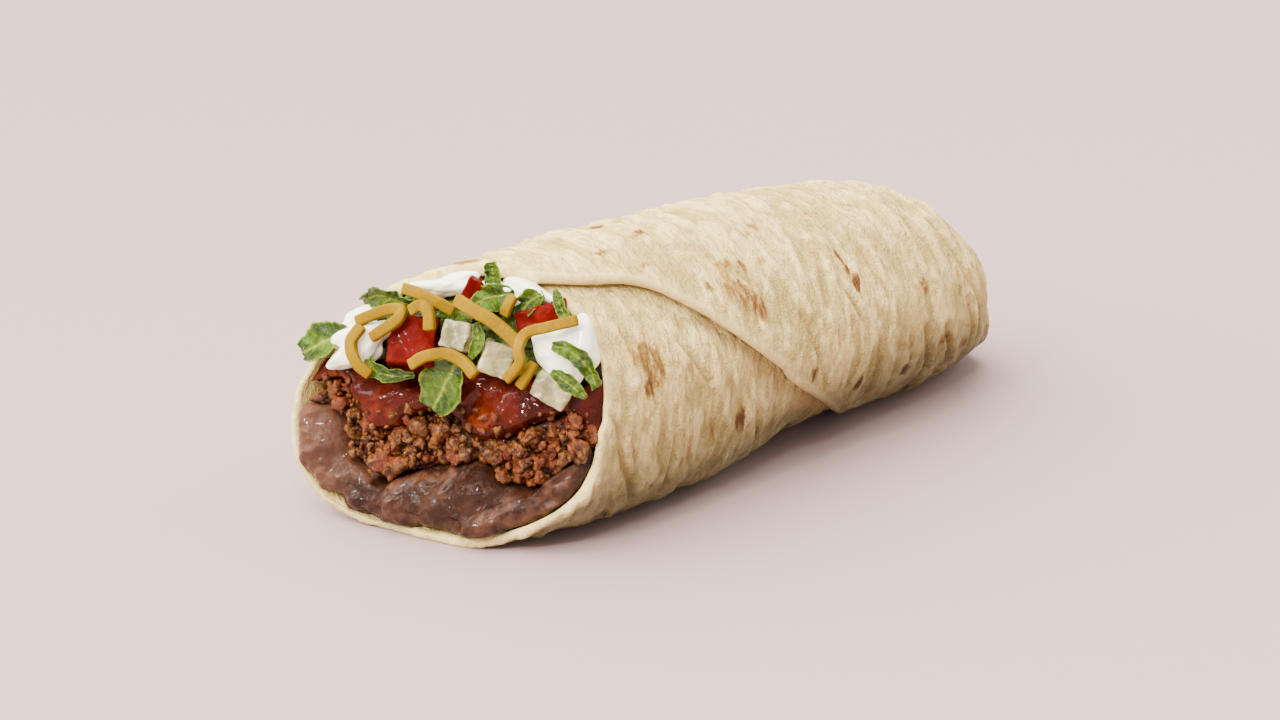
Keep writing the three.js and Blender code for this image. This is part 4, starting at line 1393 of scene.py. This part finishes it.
@dataclass(frozen=True)
class Strip:
    """A flat strip along a path: a shred of cheese or a leaf."""

    name: str
    slot: Slot
    path: tuple[Point, ...]
    width: float
    thick: float
    roll: float = 0.0
    curl: float = 0.0
    frill: float = 0.0
    tip: float = 1.0
    steps: int = 60
    cells: int = 16
    sides: int = 28
    ragged: float = 0.0
    pucker: float = 0.22
    rib: float = 0.25
    rib_width: float = 0.12
    vein_width: float = 0.09
    branches: int = 5
    branch_width: float = 0.07
    branch_share: float = 0.55
    round_end: float = 0.16
    side_power: float = 0.4
    top_power: float = 0.45

    def curve(self, along: Array) -> tuple[Array, Array, Array, float]:
        """Reads the path.

        Args:
            along: shares of its length.

        Returns:
            The places, the directions across it and its normals, and its length.
        """
        knots = np.array(self.path, float)
        chord = np.concatenate([[0], np.cumsum(np.linalg.norm(np.diff(knots, axis=0), axis=1) ** 0.5)])
        fine = np.linspace(0, chord[-1], 400)
        dense = np.stack([follow(list(zip(chord, knots[:, k])), fine) for k in range(3)], -1)
        run = np.concatenate([[0], np.cumsum(np.linalg.norm(np.diff(dense, axis=0), axis=1))])
        want = along * run[-1]
        place = np.stack([np.interp(want, run, dense[:, k]) for k in range(3)], -1)
        slope = np.gradient(dense, run, axis=0)
        tangent = np.stack([np.interp(want, run, slope[:, k]) for k in range(3)], -1)
        tangent /= np.linalg.norm(tangent, axis=-1, keepdims=True)
        face = np.array([0, math.sin(math.radians(self.roll)), math.cos(math.radians(self.roll))])
        side = np.cross(np.broadcast_to(face, tangent.shape), tangent)
        side /= np.linalg.norm(side, axis=-1, keepdims=True)
        return place, side, np.cross(tangent, side), float(run[-1])

    def build(self) -> Object:
        """Builds the strip: a flat leaf with its veins stored, or a shred with round sides."""
        return self.leaf() if self.slot is Slot.LETTUCE else self.shred()

    def shred(self) -> Object:
        """Builds a shred: rings of a rounded box along the path."""
        along, turn = np.meshgrid(np.linspace(0, 1, self.steps),
                                  np.linspace(0, 2 * np.pi, self.sides, endpoint=False), indexing="ij")
        place, side, normal, span = self.curve(along[:, 0])
        seed = self.path[0][0]
        sway = Noise(82).octaves(np.stack([along * span / 2.6, 0 * along + seed, turn / 2], -1), 3)
        from_end = np.minimum(along, 1 - along) * span
        close = np.clip(from_end / (self.round_end * self.width), 0, 1)
        scale = np.sqrt(np.maximum(1 - (1 - close) ** 2, 0.02)) * (1 + self.ragged * sway)
        wide = signed_power(np.cos(turn), self.side_power) * self.width / 2 * scale
        high = signed_power(np.sin(turn), self.top_power) * self.thick / 2 * scale
        body = place[:, None] + side[:, None] * wide[..., None] + normal[:, None] * high[..., None]
        points, faces = rings(body[0].mean(0), body, body[-1].mean(0))
        return make_object(self.name + "_shred", ROLL.from_mouth(points), faces)

    def leaf(self) -> Object:
        """Builds a leaf: a thin curled blade with a ragged outline."""

        def place(along: Array, across: Array, height: Array) -> Array:
            """Puts points of the blade, given as shares along it, across it and through it."""
            place_, side, normal, span = self.curve(along)
            seed = 0 * along + self.path[0][0]
            sway = Noise(81).octaves(np.stack([along * span / 2.0, across * 2, seed], -1), 3)
            taper = mix(1, np.sin(np.pi * mix(0.08, 0.92, along)), self.tip) * (1 + self.ragged * sway)
            off = 2 * across - 1
            wave = self.frill * np.sin(along * span * 1.3 + off * 2) * np.abs(off)
            wave = wave + 0.4 * self.frill * np.sin(along * span * 3.1 + off * 5) * off**2
            flat = np.stack([along * span / 1.5, off * self.width / 3, seed], -1)
            pucker = self.pucker * Noise(83).octaves(flat, 2, 0.6, True)
            bend = self.curl * (off * off - 0.5) * taper + wave + pucker - self.rib * bell(off, self.rib_width)
            thick = self.thick * (1 - 0.6 * np.abs(off) ** 2)
            return ROLL.from_mouth(place_ + side * (off * self.width / 2 * taper)[:, None]
                                   + normal * (bend + (height - 0.5) * thick)[:, None])

        points, faces, shares = block((self.steps, self.cells, 2), place)
        made = make_object(self.name + "_leaf", points, faces)
        off = np.abs(2 * shares[:, 1] - 1)
        main = bell(off, self.vein_width)
        branch = bell((shares[:, 0] * self.branches + off * 1.3) % 1 - 0.5, self.branch_width) * (1 - off)
        set_attribute(made, "vein", np.clip(main + self.branch_share * branch, 0, 1))
        set_attribute(made, "edge", smoothstep(off, 0.86, 1.0))
        return made


def shred(name: str, *path: Point, width: float = 2.2) -> Strip:
    """Names a shred of cheese along a path."""
    return Strip(name, Slot.CHEESE, path, width, 1.4, steps=90, ragged=0.06)


def leaf(name: str, *path: Point, width: float = 6.0, **more: float) -> Strip:
    """Names a piece of lettuce along a path."""
    return Strip(name, Slot.LETTUCE, path, width, 0.6, **{"tip": 0.8, "ragged": 0.22, **more})


DICE = (
    Dice("tomato_1", Slot.TOMATO, (9, 9.4, 7.6), (-8.3, 11, 2.9), (-16, 14, 8)),
    Dice("tomato_2", Slot.TOMATO, (4.2, 5, 4.4), (1.7, 22.5, 1.6), (10, 20, -24)),
    Dice("tomato_3", Slot.TOMATO, (9.6, 4.6, 5), (16.2, 19.7, 1.8), (0, 10, 28)),
    Dice("onion_1", Slot.ONION, (6, 5.4, 4.6), (0.4, 13.9, 2.6), (-6, -8, -4), 0.6),
    Dice("onion_2", Slot.ONION, (5.8, 6.2, 5), (8.8, 10.9, 3.4), (4, 28, -14), 0.6),
    Dice("onion_3", Slot.ONION, (7.2, 5.2, 5), (21, 7.2, 3.2), (10, 12, -24), 0.6),
)
DOLLOPS = (
    Dollop("sour_cream_1", (-4.4, 22.7, 1.2), (7.4, 2.3, 3), 16, lump=0.2),
    Dollop("sour_cream_2", (10.8, 23.6, 1.6), (6.8, 2.2, 2.6), -6, lump=0.25),
    Dollop("sour_cream_3", (21.7, 13.5, 3.2), (6.6, 4.7, 4), -22, (0.9, 4.2, 0.8), 0.15),
    Dollop("sour_cream_4", (-19.6, 9.8, 3.2), (7, 3.6, 3.6), 38, lump=0.2),
    Dollop("sour_cream_5", (-21.6, 13.4, 1.8), (4.8, 2.2, 2.4), 38, lump=0.15),
)
SHREDS = (
    shred("cheese_1", (-11.4, 21.2, 5.2), (-7.7, 20.7, 5.8), (-3.7, 19.5, 5.4), (-0.7, 18.4, 4.2)),
    shred("cheese_2", (0.5, 20.7, 6.8), (4.8, 19.3, 8), (9.5, 17.6, 8.2), (15.3, 14, 7.4), width=2.5),
    shred("cheese_3", (-19.6, 13.6, 6.2), (-14.2, 16.3, 6.9), (-10.2, 17.3, 7.4), (-9.8, 15.6, 8.2),
          (-12.2, 13.2, 9), (-14.8, 11.2, 8.4)),
    shred("cheese_4", (-17.9, 13.2, 6.8), (-19.3, 9.8, 7.6), (-17.6, 6.2, 7.6), (-14.6, 4.2, 6.8)),
    shred("cheese_5", (-7.6, 17.2, 8.6), (-5.4, 18.6, 8.9), (-3.4, 17.6, 9.4), (-2.6, 14.2, 9.4)),
    shred("cheese_6", (-6.2, 7.3, 8.2), (-3.0, 9.5, 8.6), (0.6, 10.5, 8), (4.2, 9.5, 7.6), (7.2, 7.3, 7.8)),
    shred("cheese_7", (25.6, 20.4, 7.4), (20, 18.2, 8), (16.4, 16.6, 8.6), (15.8, 13.8, 9.8),
          (16.4, 11, 9.6), (13.6, 7.6, 8.4), width=2.0),
    shred("cheese_8", (11.5, 23.0, 5.6), (10.8, 21, 6), (10.2, 19, 5.6), width=1.9),
    shred("cheese_9", (18.2, 11.6, 7.2), (17.4, 9.2, 7.8), (16, 6.6, 7.4), width=1.9),
)
LEAVES = (
    leaf("leaf_1", (-31.4, 6, 3.6), (-27.2, 8.9, 4.6), (-22, 11.5, 4.2),
         width=7.5, curl=1.4, frill=0.5, roll=20),
    leaf("leaf_2", (-20.6, 17.6, 3), (-17, 18.8, 4), (-12.8, 18.2, 3.6), (-7.6, 17.6, 2.8),
         width=5, curl=1.2,
         frill=0.5, roll=-25),
    leaf("leaf_3", (-2.6, -0.2, 3.8), (-0.6, 3.8, 5.2), (1.6, 8.8, 5.6),
         width=10, curl=1.8, frill=0.3, roll=12,
         tip=0.75, ragged=0.1),
    leaf("leaf_4", (-17.2, 8.4, 4), (-15.4, 5.6, 5.4), (-11.2, 4.7, 6), (-6.2, 5.5, 5.6),
         width=3, curl=0.8),
    leaf("leaf_5", (5, 17, 6), (6.2, 13.8, 7), (5, 10.4, 6.4), width=2.6, curl=0.5),
    leaf("leaf_6", (2.6, 20.2, 3.4), (6.4, 22, 4.4), (10.8, 23.2, 4.2), width=5.4, curl=0.7, frill=0.9),
    leaf("leaf_7", (12.2, 18.8, 3.6), (13.8, 22, 4.2), (16.4, 24, 3.6), width=4.2, curl=0.8, frill=0.7),
    leaf("leaf_8", (19, 25.1, 4.2), (21, 22.2, 5.4), (23.2, 19.6, 6), width=2.4, curl=0.5),
    leaf("leaf_9", (5.8, 23.8, 2.6), (5.8, 26.2, 3.6), (5.3, 28.4, 4.2), width=4, curl=0.6, frill=0.5),
    leaf("leaf_10", (21.4, 15.2, 7.8), (25.2, 14.6, 8.2), (28.8, 12.2, 7.4), (30.6, 8.9, 6),
         width=3.6, curl=0.9,
         frill=0.5),
    leaf("leaf_11", (22.4, 10.6, 8.6), (26, 8.9, 8.8), (29.6, 6.9, 8), width=2.8, curl=0.7),
    leaf("leaf_12", (-3.8, 17, 2.6), (-0.8, 18.3, 3.2), (2.8, 17.6, 3), width=4, curl=0.8, frill=0.4),
    leaf("leaf_13", (12, 8.8, 2.6), (13.2, 10.6, 3.6), (14.4, 12.4, 3), width=3.6, curl=0.8),
)


# The camera, the light and the floor.


@dataclass
class Studio:
    """The photograph's viewpoint, a soft light and a pale floor."""

    aim: Point = (51.8, 0.43, 21.0)
    distance: float = 477.4
    azimuth: float = -40.56
    elevation: float = 22.0
    lens: float = 67.5
    floor: Colour = (0.345, 0.236, 0.216)
    sun_from: Point = (-0.5, 0.48, 1.0)
    sun_power: float = 19.0
    sun_width: float = 96.0
    sun_colour: Colour = (1.0, 0.98, 0.95)
    sky: float = 1.18
    sky_colour: Colour = (1.0, 0.985, 0.97)
    lamps: tuple[tuple[str, Point, float, float, Colour], ...] = (
        ("front", (0.8, -0.5, 0.8), 0.5, 5.5, (1.0, 0.98, 0.96)),
        ("softbox", (-0.5, 0.12, 0.7), 0.2, 1.5, (1.0, 0.98, 0.96)),
        ("glint_left", (-0.5, -0.1, 0.38), 0.034, 1.7, (1.0, 0.99, 0.97)),
        ("glint_top", (-0.3, -0.36, 0.6), 0.032, 1.4, (1.0, 0.99, 0.97)),
    )

    def place_camera(self) -> None:
        """Puts the camera where the photograph was taken from."""
        a, e = math.radians(self.azimuth), math.radians(self.elevation)
        back = np.array([math.sin(a) * math.cos(e), -math.cos(a) * math.cos(e), math.sin(e)])
        where = (np.array(self.aim) - [MIDDLE, 0, 0] + back * self.distance) * MM
        data = bpy.data.cameras.new("camera")
        data.lens = self.lens
        data.sensor_width = 36.0
        data.clip_start = 0.01
        camera = link("camera", data)
        camera.location = where
        camera.rotation_euler = (math.radians(90 - self.elevation), 0, a)
        bpy.context.scene.camera = camera

    def light(self, name: str, where: Point, size: float, power: float, colour: Colour) -> None:
        """Adds a square lamp that faces the burrito."""
        data = bpy.data.lights.new(name, "AREA")
        data.size = size
        data.energy = power
        data.color = colour
        lamp = link(name, data)
        lamp.location = where
        lamp.rotation_euler = self.facing(where)

    def facing(self, where: Point) -> Point:
        """Gives the turns that face a lamp at a place towards the burrito."""
        x, y, z = where
        return (math.acos(z / math.sqrt(x * x + y * y + z * z)), 0, math.atan2(-y, -x) - math.pi / 2)

    def build(self) -> None:
        """Builds the floor, the sky and the lamps."""
        self.place_camera()
        bpy.ops.mesh.primitive_plane_add(size=6)
        floor = bpy.context.active_object
        floor.name = "floor"
        maker = MaterialMaker("floor")
        maker.surface(Base_Color=self.floor, Roughness=0.6, Specular_IOR_Level=0.2)
        floor.data.materials.append(maker.material)
        world = bpy.data.worlds.new("sky")
        world.use_nodes = True
        background = world.node_tree.nodes["Background"]
        background.inputs["Color"].default_value = (*self.sky_colour, 1)
        background.inputs["Strength"].default_value = self.sky
        bpy.context.scene.world = world
        data = bpy.data.lights.new("sun", "SUN")
        data.energy = self.sun_power
        data.angle = math.radians(self.sun_width)
        data.color = self.sun_colour
        sun = link("sun", data)
        sun.rotation_euler = self.facing(self.sun_from)
        sun.visible_glossy = False
        for lamp in self.lamps:
            self.light(*lamp)


def write_sizes() -> None:
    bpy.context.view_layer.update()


def main() -> None:
    """Builds the burrito piece by piece."""
    logging.basicConfig(level=logging.INFO, format="%(name)s %(message)s")
    mottle = Mottle.group()
    Studio().build()
    looks = {slot: finish.make(mottle) for slot, finish in LOOKS.items()}
    shaded = {node: finish.make(mottle) for node, finish in SHADED_LOOKS.items()}
    finish_piece(Tortilla().build(), looks[Slot.TORTILLA], "tortilla")
    filling = Filling()
    for body, layer in filling.build():
        finish_piece(body, shaded.get(layer.node, looks[layer.slot]), layer.node)
    for crumbs in filling.scatter(looks[Slot.BEEF]):
        finish_piece(crumbs, looks[Slot.BEEF], "ground_beef")
    for piece in (*DICE, *SHREDS, *LEAVES, *DOLLOPS):
        finish_piece(piece.build(), looks[piece.slot], piece.name)
    write_sizes()


if __name__ == "__main__":
    main()
